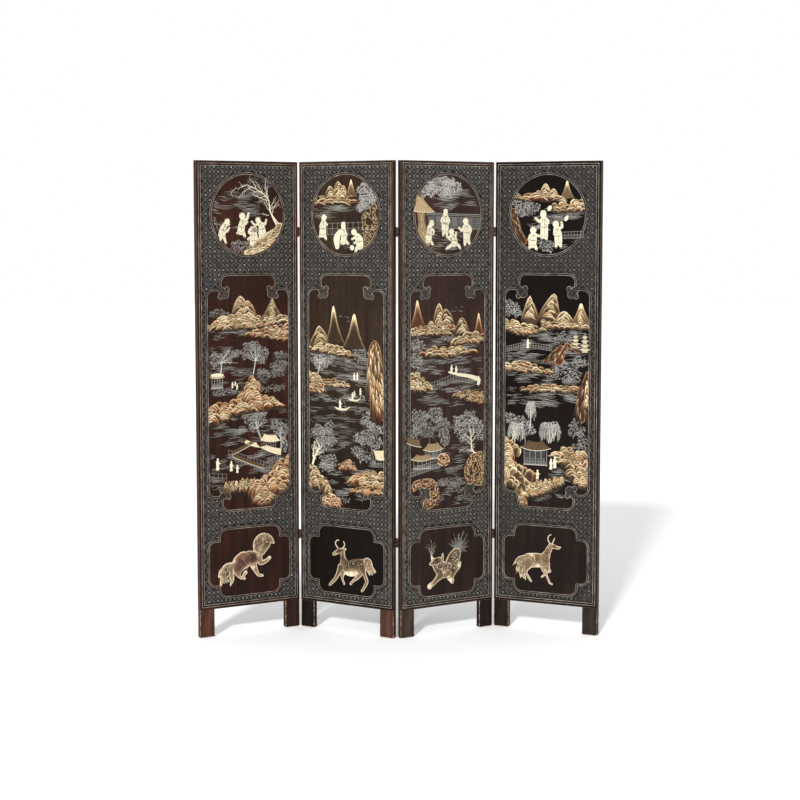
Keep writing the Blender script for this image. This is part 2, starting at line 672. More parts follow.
def ground(leaf):
    """Lozenge lattice in double lines, with nested lozenges and a flower in each."""
    rng = np.random.default_rng(100 + leaf)
    lines = Piece(leaf, f"leaf_{leaf}_ground_lattice", GROUND)
    flowers = Piece(leaf, f"leaf_{leaf}_ground_flowers", GROUND)

    def keep(p):
        return (ground_gap(p) < 0) & (cloud_gap(p) > 1.5)

    plate = Piece(leaf, f"leaf_{leaf}_ground_plate", PLATE)
    plate.relief(ground_gap, (0.0, FOOT_H), (LEAF_W, LEAF_H - FOOT_H), 6.2,
                 lambda p, depth: np.full(len(p), PLATE_TOP), lambda p, depth: np.ones(len(p)))
    plate.finish()
    slope = FLOWER_Z / FLOWER_U
    shade = GROUND_SHADE[leaf]
    span = int(LEAF_H / FLOWER_Z) + 2
    for lean in (-1, 1):
        for k in range(-span, span):
            for side in (-LATTICE_LINE, LATTICE_LINE):
                middle = FLOWER_AT[1] + (2 * k + 1) * FLOWER_Z + side
                z0, z1 = (middle + lean * slope * (u - FLOWER_AT[0]) for u in (0.0, LEAF_W))
                if max(z0, z1) < FOOT_H or min(z0, z1) > LEAF_H:
                    continue
                clipped_line(lines, np.array([0.0, z0]), np.array([LEAF_W, z1]),
                             shade * rng.uniform(0.22, 0.38), keep)
    at = []
    for row in range(int(LEAF_H / FLOWER_Z) + 1):
        z = FLOWER_AT[1] + FLOWER_Z - row * FLOWER_Z
        shift = FLOWER_U if row % 2 == 0 else 0
        at += [(FLOWER_AT[0] + shift + 2 * FLOWER_U * k, z) for k in range(-2, 14)]
    at = np.array(at)
    crossings = at + (FLOWER_U, 0)
    for spots, clear, petals, length, width, tones in ((at, 3.0, 6, 4.6, 3.4, (0.3, 0.9)),
                                                       (crossings, 3.5, 4, 3.4, 1.6, (0.25, 0.7))):
        whole = keep(spots) & (ground_gap(spots) < -clear)
        rosettes(flowers, spots[whole], petals, length, width, [t * shade for t in tones], rng)
    square = LOZENGE * np.array([(1, 0), (0, 1), (-1, 0), (0, -1)])
    for a, b in zip(square, np.roll(square, -1, axis=0)):
        sides = np.stack([at + a * 0.97, at + b * 0.97], 1)
        whole = keep(sides).all(1) & keep(sides.mean(1))
        tones = 0.34 * shade * rng.uniform(0.6, 1.4, (whole.sum(), 1))
        lines.strokes(sides[whole], 1.2, PATTERN_TOP, tones)
    cloud_rings(lines, rng)
    lines.finish()
    flowers.finish()


def rosettes(piece, at, petals, length, width, tones, rng):
    """Small flowers at points, each of one tone."""
    shade = rng.uniform(*tones, len(at))
    for k in range(petals):
        angle = 2 * math.pi * (k + 0.5) / petals
        start = at + 0.7 * np.array([math.cos(angle), math.sin(angle)])
        piece.blades(start, np.full(len(at), angle), length, width, 0.3, shade)


def cloud_rings(piece, rng):
    """Nested curls that fill the cloud heads in the corners of the tall picture."""
    around = np.linspace(0, 2 * math.pi, 41)
    for side_u in (-1, 1):
        for side_z in (-1, 1):
            for du, dz, r in CLOUD:
                centre = (TALL[0] + side_u * (TALL_NECK[0] / 2 - du),
                          TALL[1] + side_z * (TALL_SIZE[1] / 2 - dz))
                for depth in np.arange(4.4, r, 3.8):
                    ring = centre + (r - depth) * np.column_stack([np.cos(around), np.sin(around)])
                    inside = np.abs(cloud_gap(ring) + depth) < 0.4
                    for k in range(0, 40, 4):
                        if inside[k:k + 5].all():
                            tone = rng.uniform(0.05, 0.5)
                            piece.strokes([ring[k:k + 5]], 1.1, PATTERN_TOP, tone)


# ---- what the pictures are made of ----------------------------------------------------------
# Rings of a stone: how far in each lies (mm), the least share of its size that it keeps, and
# its tones at the upper rim and at the foot, of a stone behind others and of a clear one
RIM_STEPS = np.array([0, 2.2, 4.6, 8.2, 13.0])
RIM_SHARES = np.array([1, 0.82, 0.62, 0.38, 0.18])
RIM_TONES = np.array([[0.0, 0.96, 0.7, 0.3, 0.16], [0.0, 0.99, 0.9, 0.66, 0.44]])
FOOT_TONES = np.array([[0.0, 0.04, 0.06, 0.08, 0.1], [0.0, 0.08, 0.14, 0.22, 0.26]])
# How far inside a picture's outline its parts keep (mm)
STONE_CLEAR, WATER_CLEAR, TWIG_CLEAR, LEAF_CLEAR = 0.6, 2.5, 3, 5
SOME_RUSTY = 0.2                          # share of redder stones in an ordinary heap


class Picture:
    """One picture on a leaf: its outline, and a piece for each material in it."""

    def __init__(self, leaf, name, gap, seed):
        self.gap = gap
        self.rng = np.random.default_rng(seed)
        self.stone = Piece(leaf, f"leaf_{leaf}_{name}_rocks", STONE)
        self.rusty = Piece(leaf, f"leaf_{leaf}_{name}_rusty_rocks", RUSTY)
        self.pearl = Piece(leaf, f"leaf_{leaf}_{name}_trees_and_water", PEARL)
        self.bone = Piece(leaf, f"leaf_{leaf}_{name}_figures", BONE)
        self.hide = Piece(leaf, f"leaf_{leaf}_{name}_beast", HIDE)

    def finish(self):
        for piece in (self.stone, self.rusty, self.pearl, self.bone, self.hide):
            piece.finish()

    # -- water, mist and leaves
    def water(self, low, high, count, length, tone=(0.25, 0.65)):
        """Long wavy strokes between two corners of an area."""
        rng = self.rng
        groups, per = count // 5, 5
        count = groups * per
        spread = rng.uniform((-14, -0.8), (14, 0.8), (groups, per, 2)) + (0, 3.6) * np.arange(per)[:, None]
        middle = (rng.uniform(low, high, (groups, 1, 2)) + spread).reshape(-1, 1, 2)
        reach = rng.uniform(*length, (count, 1))
        t = np.linspace(-0.5, 0.5, 7)
        turns = np.repeat(rng.uniform(0.5, 1.2, (groups, 1)), per, 0)
        start = np.repeat(rng.uniform(0, 2 * math.pi, (groups, 1)), per, 0)
        tilt = np.repeat(rng.normal(0, 0.05, (groups, 1)), per, 0)
        wave = rng.uniform(0.6, 2.0, (count, 1)) * np.sin(2 * math.pi * t * turns + start)
        offset = np.stack([t * reach, wave + tilt * t * reach], -1)
        for _ in range(4):
            out = (self.gap(middle + offset) > -WATER_CLEAR).any(1)
            offset[out] *= 0.6
        kept = (self.gap(middle + offset) < -WATER_CLEAR).all(1)
        taper = 1.3 * np.array([0.3, 0.75, 1, 1, 1, 0.75, 0.3])
        shade = rng.uniform(*tone, (count, 1)) * rng.uniform(0.4, 1.5, (count, 1))
        self.pearl.strokes((middle + offset)[kept], taper, LOW_RELIEF, shade[kept])

    def foliage(self, tone, *crowns, leaf=8.0, apart=6.5, heart=None):
        """Ragged masses of small pointed leaves, turned away from the heart of each.

        A crown is (u, z, half width, half height), and its heart is its foot unless given.
        """
        rng = self.rng
        for u, z, ru, rz in crowns:
            hu, hz = (u, z - rz) if heart is None else heart
            at = scattered(rng, (u - ru * 1.2, z - rz * 1.2), (u + ru * 1.2, z + rz * 1.2), apart, apart / 2)
            off = (at - (u, z)) / (ru, rz)
            around = np.arctan2(off[:, 1], off[:, 0])
            a, b = rng.uniform(0, 2 * math.pi, 2)
            edge = 0.92 + 0.12 * np.sin(3 * around + a) + 0.1 * np.sin(7 * around + b)
            at = at[(np.hypot(*off.T) < edge) & (self.gap(at) < -LEAF_CLEAR)]
            away = np.arctan2(at[:, 1] - hz, at[:, 0] - hu)
            shade = rng.uniform(*tone, len(at))
            for k in range(4):
                angle = away + (k - 1.5) * 0.7 + rng.normal(0, 0.3, len(at))
                self.pearl.blades(at, angle, leaf * rng.uniform(0.6, 1.1, len(at)), 2.2, 0.35,
                                  shade * rng.uniform(0.2, 1.35, len(at)))

    def tree(self, trunk, crowns, width=4.5, bark=0.85, tone=(0.35, 0.8)):
        """A trunk that forks into each crown."""
        path = smooth(trunk)
        self.pearl.stroke(path, width, LOW_RELIEF, bark, lift=0.3, taper=0.6)
        fork = path[-1]
        for crown in crowns:
            self.foliage(tone, crown, heart=fork)
            for lean in (-0.5, 0.0, 0.5):
                c, s = math.cos(lean), math.sin(lean)
                du, dz = crown[:2] - fork
                tip = fork + np.array([du * c - dz * s, du * s + dz * c])
                bend = (fork + tip) / 2 + self.rng.normal(0, 3, 2)
                self.pearl.stroke(smooth([fork, bend, tip]), width * 0.5, LOW_RELIEF, bark, lift=0.3)

    def bare(self, points, width, depth, tone=0.97, twigs=6):
        """A leafless branch with twigs off both its sides."""
        line = smooth(points)
        self.bone.stroke(line, width, LOW_RELIEF, tone, lift=0.35, taper=0.35)
        if not depth:
            return
        rng = self.rng
        total = np.hypot(*np.diff(line, axis=0).T).sum()
        for k in range(twigs):
            j = int((0.25 + 0.75 * k / (twigs - 1)) * (len(line) - 2))
            ahead = math.atan2(*(line[j + 1] - line[j])[::-1])
            angle = ahead + (1 if k % 2 else -1) * rng.uniform(0.4, 0.95)
            reach = total * rng.uniform(0.16, 0.36)
            bend = angle + rng.normal(0, 0.5)
            knee = line[j] + reach * 0.5 * np.array([math.cos(angle), math.sin(angle)])
            tip = knee + reach * 0.5 * np.array([math.cos(bend), math.sin(bend)])
            if max(self.gap(tip), self.gap(knee)) < -TWIG_CLEAR:
                self.bare([line[j], knee, tip], max(width * 0.4, 0.9), depth - 1, tone * 0.95, 5)

    def willow(self, root, top, spread, drop, strands):
        """Strands with narrow leaves that arch out from the top and hang."""
        rng = self.rng
        root, top = np.array(root, float), np.array(top, float)
        bend = (root + top) / 2 + (rng.normal(0, 3), 0)
        self.pearl.stroke(smooth([root, bend, top]), 4.5, LOW_RELIEF, 0.95, lift=0.3)
        for side in np.linspace(-1, 1, strands):
            start = top + (side * spread * 0.3, rng.uniform(-0.1, 0.2) * drop)
            knee = start + (side * spread * 0.45, rng.uniform(0.0, 0.14) * drop)
            end = np.array([top[0] + side * spread * rng.uniform(0.85, 1.1),
                            knee[1] - drop * rng.uniform(0.45, 1.0)])
            if max(self.gap(end), self.gap(knee)) > -TWIG_CLEAR:
                continue
            path = smooth([start, knee, (knee * 0.35 + end * 0.65) + (side * 2, 0), end])
            shade = rng.uniform(0.45, 0.9)
            self.pearl.stroke(path, 1.3, LOW_RELIEF, shade, lift=0.1)
            for lean in (-0.5, 0.5):
                at = path[3:]
                angle = -math.pi / 2 + lean + rng.normal(0, 0.2, len(at))
                self.pearl.blades(at, angle, 6.0, 1.6, 0.35, shade * 1.05)

    # -- rocks and mountains
    def arches(self, rows, lift, shade, rust):
        """Stones that overlap like scales, each with a dark outline and a pale upper rim.

        rust is the share of them that are of the redder stone.

        A row is (u, top, half width, height, turn, point, front). point runs from 0, round, to
        1, pointed. front is 1 on a stone that stands clear and 0 on one behind others. Each
        stone slopes back from its upper rim, so that the lower ones stand over the higher.
        """
        if not rows:
            return
        rng = self.rng
        rows = np.array(rows, float)
        m, n = len(rows), 16
        u, top, half, tall, turn, point, front = (v[:, None] for v in rows.T)
        around = 2 * math.pi * np.arange(n) / n
        c, s = np.cos(around), np.sin(around)
        side = np.where(np.abs(c) < 1e-9, 0, np.sign(c))
        wide = np.where(s > 0, (1 - point) * c + point * side * (1 - s), side * np.abs(c) ** 0.7)
        wide = half * wide * (1 + rng.normal(0, 0.05, (m, n)))
        high = tall * np.where(s > 0, s, 0.25 * s)
        size = np.minimum(half, 0.6 * tall)
        shrink = np.maximum(1 - RIM_STEPS / size, RIM_SHARES)[..., None]
        x = wide[:, None] * shrink
        z = high[:, None] * shrink + 0.3 * tall[..., None] * (1 - shrink)
        back = z - tall[..., None]
        cos, sin = np.cos(turn)[..., None], np.sin(turn)[..., None]
        rings = np.stack([u[..., None] + x * cos - back * sin,
                          top[..., None] + x * sin + back * cos], -1)
        rings = pulled_in(rings, self.gap, STONE_CLEAR)
        heights = lift + rng.uniform(0.2, 0.3, (m, 1, 1)) + 0.8 * np.clip(z / tall[..., None], 0, 1)
        heights = heights - np.array([0.07, 0, 0, 0, 0])[:, None]
        rim = RIM_TONES[0] + (RIM_TONES[1] - RIM_TONES[0]) * front
        foot = FOOT_TONES[0] + (FOOT_TONES[1] - FOOT_TONES[0]) * front
        tones = foot[..., None] + (rim - foot)[..., None] * np.clip(0.3 + 0.9 * s, 0, 1)
        tones = tones * rng.uniform(0.75, 1.15, (m, 1, 1)) + rng.normal(0, 0.05, (m, 1, n)) + shade
        tones[:, 0] = np.minimum(tones[:, 0], 0.06)
        red = rng.random(m) < rust
        for body, some in ((self.rusty, red), (self.stone, ~red)):
            if some.any():
                body.domes(rings[some], heights[some], tones[some])

    def heap(self, u, top, foot, w, h, lean):
        """Rows for arches(): a few nested ones behind a clear stone."""
        rng = self.rng
        count = max(int(0.6 * h / rng.uniform(5.0, 8.5)), 1)
        drift = rng.normal(-0.3 * lean, 0.07) * w
        grown = rng.uniform(0.75, 1.35)
        rows = []
        for k in range(count + 1):
            drop = 0.6 * h * k / count
            clear = k == count
            tall = min(h * grown * (rng.uniform(0.5, 0.8) if clear else rng.uniform(0.75, 1.0)),
                       top - drop - foot + 3)
            if tall < 5:
                break
            half = w * grown * (rng.uniform(0.34, 0.5) if clear else rng.uniform(0.42, 0.58))
            rows.append((u + drift * k, top - drop, half, tall, lean + rng.normal(0, 0.2),
                         rng.uniform(0, 0.3), rng.uniform(0.1, 0.9) if clear else 0))
        return rows

    def rocks(self, ridge, foot, size, lift=0.0, shade=0.0, fill=0.45, rust=SOME_RUSTY):
        """Heaps of stones under a ridge line, down to a foot line or to one height."""
        rng = self.rng
        w, h = 1.25 * size[0], 1.1 * size[1]
        ridge_u, ridge_z = np.array(ridge, float).T
        if not np.iterable(foot):
            foot = [(ridge_u[0], foot), (ridge_u[-1], foot)]
        foot_u, foot_z = np.array(foot, float).T
        heaps = []
        for row, drop in enumerate(np.arange(0, ridge_z.max() - foot_z.min(), 1.35 * fill * h)):
            for u in np.arange(ridge_u[0] + 0.3 * w * (row % 2), ridge_u[-1] + 0.1, 0.6 * w):
                u = u + rng.normal(0, 0.06 * w)
                top = np.interp(u, ridge_u, ridge_z) - drop + rng.uniform(-0.12, 0.12) * h
                floor = np.interp(u, foot_u, foot_z)
                if top > floor + 0.4 * h:
                    near = np.interp([u - 8, u + 8], ridge_u, ridge_z)
                    lean = 0.5 * math.atan2(near[1] - near[0], 16)
                    heaps.append(self.heap(u, top, floor, w, h, lean))
        heaps.sort(key=lambda rows: -rows[0][1])
        self.arches([row for rows in heaps for row in rows], lift, shade, rust)

    def hill(self, u, top, foot, half, layers, lean=0.0, point=0.45, lift=0.0):
        """Mountain: a pale outline, arches nested down its middle and a clear stone at its foot.

        lean is how far its foot lies to the right of its top.
        """
        rng = self.rng
        tall = top - foot
        turn = math.asin(lean / tall)
        start = rng.uniform(0, 2 * math.pi)
        rows = [(u, top, half, tall, turn, point, 0.3)]
        for k in range(1, layers + 1):
            drop = 0.85 * k / (layers + 0.5)
            end = min(drop + 0.5, 1.0)
            wide = half * ((1 - point) * math.sqrt(1 - (1 - end) ** 2) + point * end)
            sway = 0.16 * half * math.sin(1.9 * k + start)
            front = 0.9 if k == layers else 0.35 * (k % 3 == 0)
            rows.append((u + lean * drop + sway, top - tall * drop, 0.72 * wide * rng.uniform(0.85, 1.1),
                         tall * (end - drop) + 2, turn + rng.normal(0, 0.08), 0.6 * point, front))
        self.arches(rows, lift, 0.0, SOME_RUSTY)

    def cliff(self, path, layers, shade=0.0, rust=0.4):
        """Tall rock: a body along a path of (u, z, r), with long narrow arches hung down it."""
        rng = self.rng
        carve(self, self.rusty, [path], 0.7, 0.8 + shade, 0.16 + shade, 2.6, 0.05, 0.08, cell=1.8)
        line = smooth(path, 8)
        rows = []
        for k in range(layers):
            place = int((0.02 + 0.86 * k / layers) * (len(line) - 1))
            u, z, r = line[place]
            ahead = line[min(place + 4, len(line) - 1)]
            turn = math.atan2(ahead[0] - u, z - ahead[1])
            side = math.sin(2.3 * k + 1)
            rows.append((u + 0.68 * r * side, z + 0.45 * r * (1 - abs(side)) + 3,
                         r * rng.uniform(0.2, 0.36), r * rng.uniform(1.8, 3.6),
                         turn + rng.normal(0, 0.1) + 0.12 * side, 0.5, rng.uniform(0, 0.6) * (k % 3 == 0)))
        self.arches(rows, 0.35, shade, rust)

    def peak(self, u, top, foot, half, lean=0.0, inside=0.1, rust=False):
        """Slim mountain with flared flanks: a pale tip and rims round a darker body."""
        n, rim = 13, 0.97
        down = np.linspace(0, 1, n) ** 1.4
        wide = half * (0.44 * np.sqrt(down) + 0.56 * down ** 2.6)
        axis = u + lean * (1 - down)
        rings = []
        for inset in (0, 1.6, 4.4, 10.0):
            z = top - 1.4 * inset - (top - foot - 1.4 * inset) * down
            x = np.maximum(wide - inset, 0.1 * wide) * (1 + self.rng.normal(0, 0.03, n))
            rings.append(np.concatenate([np.column_stack([axis + x, z])[::-1],
                                         np.column_stack([axis - x, z])[1:]]))
        rings = pulled_in(np.array([rings]), self.gap, STONE_CLEAR)
        down = np.concatenate([down[::-1], down[1:]])
        tones = np.array([0.7, 1.0, 0.62, 0.0])[:, None] * rim * (1 - 0.6 * down)
        tones = np.maximum(tones, inside)
        tones = tones + (rim - tones) * np.exp(-(down / 0.2) ** 2)
        body = self.rusty if rust else self.stone
        body.domes(rings, [0.3, 0.45, 0.5, 0.52], tones[None])

    def holed_rock(self, outline, holes, shade=0.0, rust=0.5):
        """Scholar's rock: pierced, with pale rims and small stones that lie every way."""
        outline = smooth(outline, 3, closed=True)

        def gap(p):
            out = np.maximum(polygon_gap(p, outline), self.gap(p) + STONE_CLEAR)
            for u, z, r in holes:
                wobble = 1.5 * np.sin(3 * np.arctan2(p[..., 1] - z, p[..., 0] - u) + u)
                out = np.maximum(out, -circle_gap(p, (u, z), r + wobble))
            return out

        def height(p, depth):
            return 0.3 + 0.5 * np.minimum(depth / 6, 1)

        def tone(p, depth):
            return 0.22 + shade + 0.7 * np.exp(-(depth / 2.4) ** 2)

        low = outline.min(0)
        size = outline.max(0) - low
        body = self.rusty if rust > 0.3 else self.stone
        body.relief(gap, low, size, 1.5, height, tone)
        rng = self.rng
        at = scattered(rng, low, low + size, 8.5, 3)
        at = at[gap(at) < -6]
        rows = [(u, z + 4, rng.uniform(4.5, 7.5), rng.uniform(9, 15), rng.normal(0, 0.9), 0.2,
                 rng.uniform(0, 0.8) * (rng.random() < 0.4)) for u, z in at[np.argsort(-at[:, 1])]]
        self.arches(rows, 0.4, shade, rust)

    # -- buildings, boats and people
    def roof(self, corners, tone, ribs=8, lift=0.75, curl=0.1):
        """Tiled roof from the left eaves round to the left end of its ridge, its ends turned up."""
        el, er, rr, rl = (np.array(c, float) for c in corners)
        w = np.hypot(*(er - el))
        out = (er - el) / w
        t = np.linspace(0, 1, 9)[:, None]
        up = np.array([0, curl * w]) * (2 * t - 1) ** 2
        eaves = el - 0.05 * w * out + (er - el + 0.1 * w * out) * t + up - (0, 0.3 * curl * w)
        ridge = rl + (rr - rl) * t + 0.5 * up
        hips = [(eaves[-1] + ridge[-1]) / 2 - 0.04 * w * out,
                (eaves[0] + ridge[0]) / 2 + 0.04 * w * out]
        self.stone.slab(np.concatenate([eaves, hips[:1], ridge[::-1], hips[1:]]), lift, tone)
        fall = eaves[1:-1] * 0.94 + ridge[1:-1] * 0.06
        ribs_at = np.linspace(0.04, 0.96, ribs)
        tops = np.column_stack([np.interp(ribs_at, t[:, 0], ridge[:, k]) for k in (0, 1)])
        feet = np.column_stack([np.interp(ribs_at, t[1:-1, 0], fall[:, k]) for k in (0, 1)])
        self.stone.strokes(np.stack([tops, feet], 1), 0.8, 0.14, tone * 0.42, lift - 0.02)
        self.stone.strokes([ridge], 2.2, 0.3, 0.3, lift)
        self.bone.strokes([eaves + (0, 0.8)], 2.0, 0.25, 0.92, lift)

    def fence(self, a, b, height, posts, tone, width=1.4, cross=True, lift=0.0):
        """Posts and rails along a line, with a cross in each bay."""
        a, b = np.array(a, float), np.array(b, float)
        feet = a + (b - a) * np.linspace(0, 1, posts)[:, None]
        heads = feet + (0, height)
        self.pearl.strokes(np.stack([feet, heads + (0, 1.5)], 1), width, LOW_RELIEF, tone, lift)
        for share in (0.08, 0.55, 0.97):
            rail = (0, height * share)
            self.pearl.strokes([[a + rail, b + rail]], width * 0.8, LOW_RELIEF, tone, lift)
        if cross:
            top, foot = heads * 0.55 + feet * 0.45, feet * 0.95 + heads * 0.05
            for start, end in ((foot, top), (top, foot)):
                self.pearl.strokes(np.stack([start[:-1], end[1:]], 1), 0.8, 0.2, tone * 0.8, lift)

    def pavilion(self, left, right, floor, eaves, ridge, tone):
        """Open house: a railed floor, posts and a tiled roof."""
        w = right - left
        a, b = left + 0.1 * w, right - 0.1 * w
        lift, posts, inset = 0.45, 5, 0.24 * w
        self.fence((a, floor), (b, floor), (eaves - floor) * 0.4, 2 * posts - 1, 0.5, 1.0, True, lift * 0.5)
        tops = np.linspace(a, b, posts)
        self.pearl.strokes([[(u, floor), (u, eaves)] for u in tops], 1.8, 0.3, 0.5, lift * 0.6)
        self.pearl.slab(rectangle(a - 3, b + 3, floor - 4, floor), lift, 0.62)
        self.roof([(left, eaves), (right, eaves), (right - inset, ridge), (left + inset, ridge)],
                  tone, max(int(w / 7), 4), lift + 0.25)

    def pagoda(self, u, foot, top, width):
        """Tower of four storeys, each with its roof and narrower than the one below."""
        storeys = 4
        step = (top - foot) / (storeys + 0.6)
        for k in range(storeys):
            w = width * (1 - 0.16 * k)
            z = foot + k * step
            self.bone.slab(rectangle(u - w * 0.3, u + w * 0.3, z, z + step * 0.6), 0.6, 0.5)
            self.roof([(u - w / 2, z + step * 0.55), (u + w / 2, z + step * 0.55),
                       (u + w * 0.28, z + step), (u - w * 0.28, z + step)], 0.8, 4, 0.8)
        self.bone.strokes([[(u, top - step * 0.6), (u, top)]], 1.6, 0.5, 0.9)

    def figures(self, *people):
        """Small robed persons, each (u, z, height), turned to the right."""
        tone = 0.97
        for u, z, height in people:
            robe = np.array([(-0.16, 0), (0.15, 0), (0.12, 0.3), (0.16, 0.55), (0.09, 0.78),
                             (-0.07, 0.8), (-0.15, 0.6), (-0.1, 0.3)]) * height + (u, z)
            robe = smooth(robe, 2, closed=True)
            middle = robe.mean(0)
            rings = [robe, middle + (robe - middle) * 0.7, middle + (robe - middle) * 0.3]
            self.bone.domes([rings], [0.7, 1.0, 1.1], [[[tone * 0.9]] + [[tone]] * 2])
            self.disc(u + 0.02 * height, z + height * 0.89, height * 0.095, 1.2, tone)
            shoulder, hand = (u, z + height * 0.64), (u + height * 0.3, z + height * 0.5)
            self.bone.stroke([shoulder, hand], height * 0.09, 0.3, tone, 0.9, 0.6)

    def disc(self, u, z, r, top, tone, piece=None, tall=1.0, turn=0.0):
        """Round dome, or an oval one turned by some degrees."""
        around = 2 * math.pi * np.arange(18) / 18
        c, s = math.cos(math.radians(turn)), math.sin(math.radians(turn))
        ru, rz = r * np.cos(around), r * tall * np.sin(around)
        outline = np.column_stack([ru * c - rz * s, ru * s + rz * c])
        rings = [outline * k + (u, z) for k in (1, 0.8, 0.45)]
        (piece or self.bone).domes([rings], [top * 0.7, top * 0.92, top], [[[tone * 0.88], [tone], [tone]]])

    def boat(self, u, z, length):
        """Punt with a raised bow, a man and his pole."""
        hull = np.array([(-0.5, 0.16), (-0.3, 0.0), (0.25, 0.0), (0.5, 0.24), (0.24, 0.1), (-0.28, 0.12)])
        hull = hull * length + (u, z)
        self.bone.slab(smooth(hull, 3, closed=True), 0.7, 0.8)
        self.figures((u - 0.15 * length, z + 0.08 * length, length * 0.5))
        self.bone.stroke([(u + 0.3 * length, z - 3), (u + 0.05 * length, z + length * 0.6)], 1.0, 0.3, 0.85)

    def birds(self, u, z, count):
        """A flock of small strokes bent like wings."""
        rng = self.rng
        spread = 26
        for _ in range(count):
            bu, bz = u + rng.uniform(-spread, spread), z + rng.uniform(-spread, spread) * 0.5
            span = rng.uniform(5, 8)
            wings = [(bu - span, bz + span * 0.35), (bu - span * 0.4, bz + span * 0.3), (bu, bz),
                     (bu + span * 0.5, bz + span * 0.5), (bu + span, bz + span * 0.3)]
            self.pearl.stroke(wings, 1.1, LOW_RELIEF, 0.5, taper=0.6)


# ---- carved figures -------------------------------------------------------------------------
def tapered(path, start, end):
    """A path of (u, z) with a radius that runs from start to end."""
    return np.column_stack([path, np.linspace(start, end, len(path))])


def carve(picture, piece, limbs, rise, rim, inside, fade=9.0, line=0.12, bands=0.0, spots=(), cell=1.4):
    """Rounded relief of limbs, rows of (u, z, r), the later over the earlier.

    A dark line sets each limb off from the next, bands gives it the strata of a rock, and
    spots (u, z, r, tone) tint places on it.
    """
    limbs = [smooth(limb, 8) for limb in limbs]

    def layers(p):
        return np.stack([np.min([circle_gap(p, c[:2], c[2]) for c in limb], 0) for limb in limbs])

    def gap(p):
        return np.maximum(layers(p).min(0), picture.gap(p) + 1.0)

    def depth_in_top(p):
        found = layers(p)[::-1]
        top = np.argmax(found < 0, axis=0)
        return np.maximum(-np.take_along_axis(found, top[None], 0)[0], 0)

    def height(p, depth):
        inner = np.minimum(depth_in_top(p) / 7, 1)
        return rise * (0.35 + 0.65 * np.sqrt(1 - (1 - inner) ** 2))

    def tone(p, depth):
        d = depth_in_top(p)
        level = inside + (rim - inside) * np.exp(-d / fade)
        sway = 1.4 * np.sin(p[:, 0] / 13) + 1.4 * np.sin(p[:, 1] / 16)
        level = level + bands * np.sin(d * 0.85 + sway)
        for u, z, r, spot in spots:
            level = level + (spot - level) * np.exp(-(circle_gap(p, (u, z), 0) / r) ** 2)
        seam = np.exp(-(d / 0.9) ** 2) * (depth > 2)
        return level + (line - level) * seam

    low, high = reach_of(np.concatenate(limbs))
    piece.relief(gap, low, high - low, cell, height, tone)


def reach_of(rows):
    """Low and high corners of circles (u, z, r)."""
    return (rows[:, :2] - rows[:, 2:]).min(0), (rows[:, :2] + rows[:, 2:]).max(0)


def inside_limb(picture, limb, apart):
    """Scattered points over a limb."""
    rows = smooth(limb, 6)
    at = scattered(picture.rng, *reach_of(rows), apart, apart / 2)
    inside = np.min([circle_gap(at, c[:2], c[2]) for c in rows], 0) < -1
    return at[inside & (picture.gap(at) < -4)]


def fur(picture, piece, limb, degrees, length, apart, tones, lift, width):
    """Short locks over a limb, combed to one angle."""
    rng = picture.rng
    at = inside_limb(picture, limb, apart)
    angle = math.radians(degrees) + rng.normal(0, 0.22, len(at))
    piece.blades(at, angle, length * rng.uniform(0.7, 1.2, len(at)), width, 0.22,
                 rng.uniform(*tones, len(at)), lift)


def tunic(picture, spine, arms, rise):
    """Brown lines of a tunic: collar, front, girdle, hem and cuffs."""
    line = smooth(spine, 5)
    along = np.gradient(line[:, :2], axis=0)
    along /= np.hypot(*along.T)[:, None]
    left = np.column_stack([-along[:, 1], along[:, 0]])
    top = rise + 0.01
    picture.bone.stroke(line[1:, :2] + left[1:] * 1.2, 1.9, 0.08, 0.12, top, 0.7)
    last = len(line) - 1
    for k, reach, width in ((1, 0.6, 1.8), (last // 2 + 1, 0.8, 2.2), (last, 0.8, 1.6)):
        across = left[k] * line[k, 2] * reach
        sag = along[k] * line[k, 2] * (0.2 if k < last else 0.45)
        middle = line[k, :2] + sag
        picture.bone.strokes([smooth([line[k, :2] - across, middle, line[k, :2] + across], 3)],
                             width, 0.08, 0.14, top)
    for k in (last // 4 + 1, 3 * last // 4):
        for side in (-0.5, 0.5):
            u, z = line[k, :2] + left[k] * line[k, 2] * side
            picture.disc(u, z, 1.8, rise + 0.1, 0.3)
    for arm in arms:
        hand, elbow = np.array(arm[-1], float), np.array(arm[-2], float)
        ahead = (hand - elbow) / np.hypot(*(hand - elbow))
        across = np.array([-ahead[1], ahead[0]]) * 4.2
        cuff = hand - ahead * 3
        picture.bone.strokes([[cuff - across, cuff + across]], 1.6, 0.08, 0.15, top)


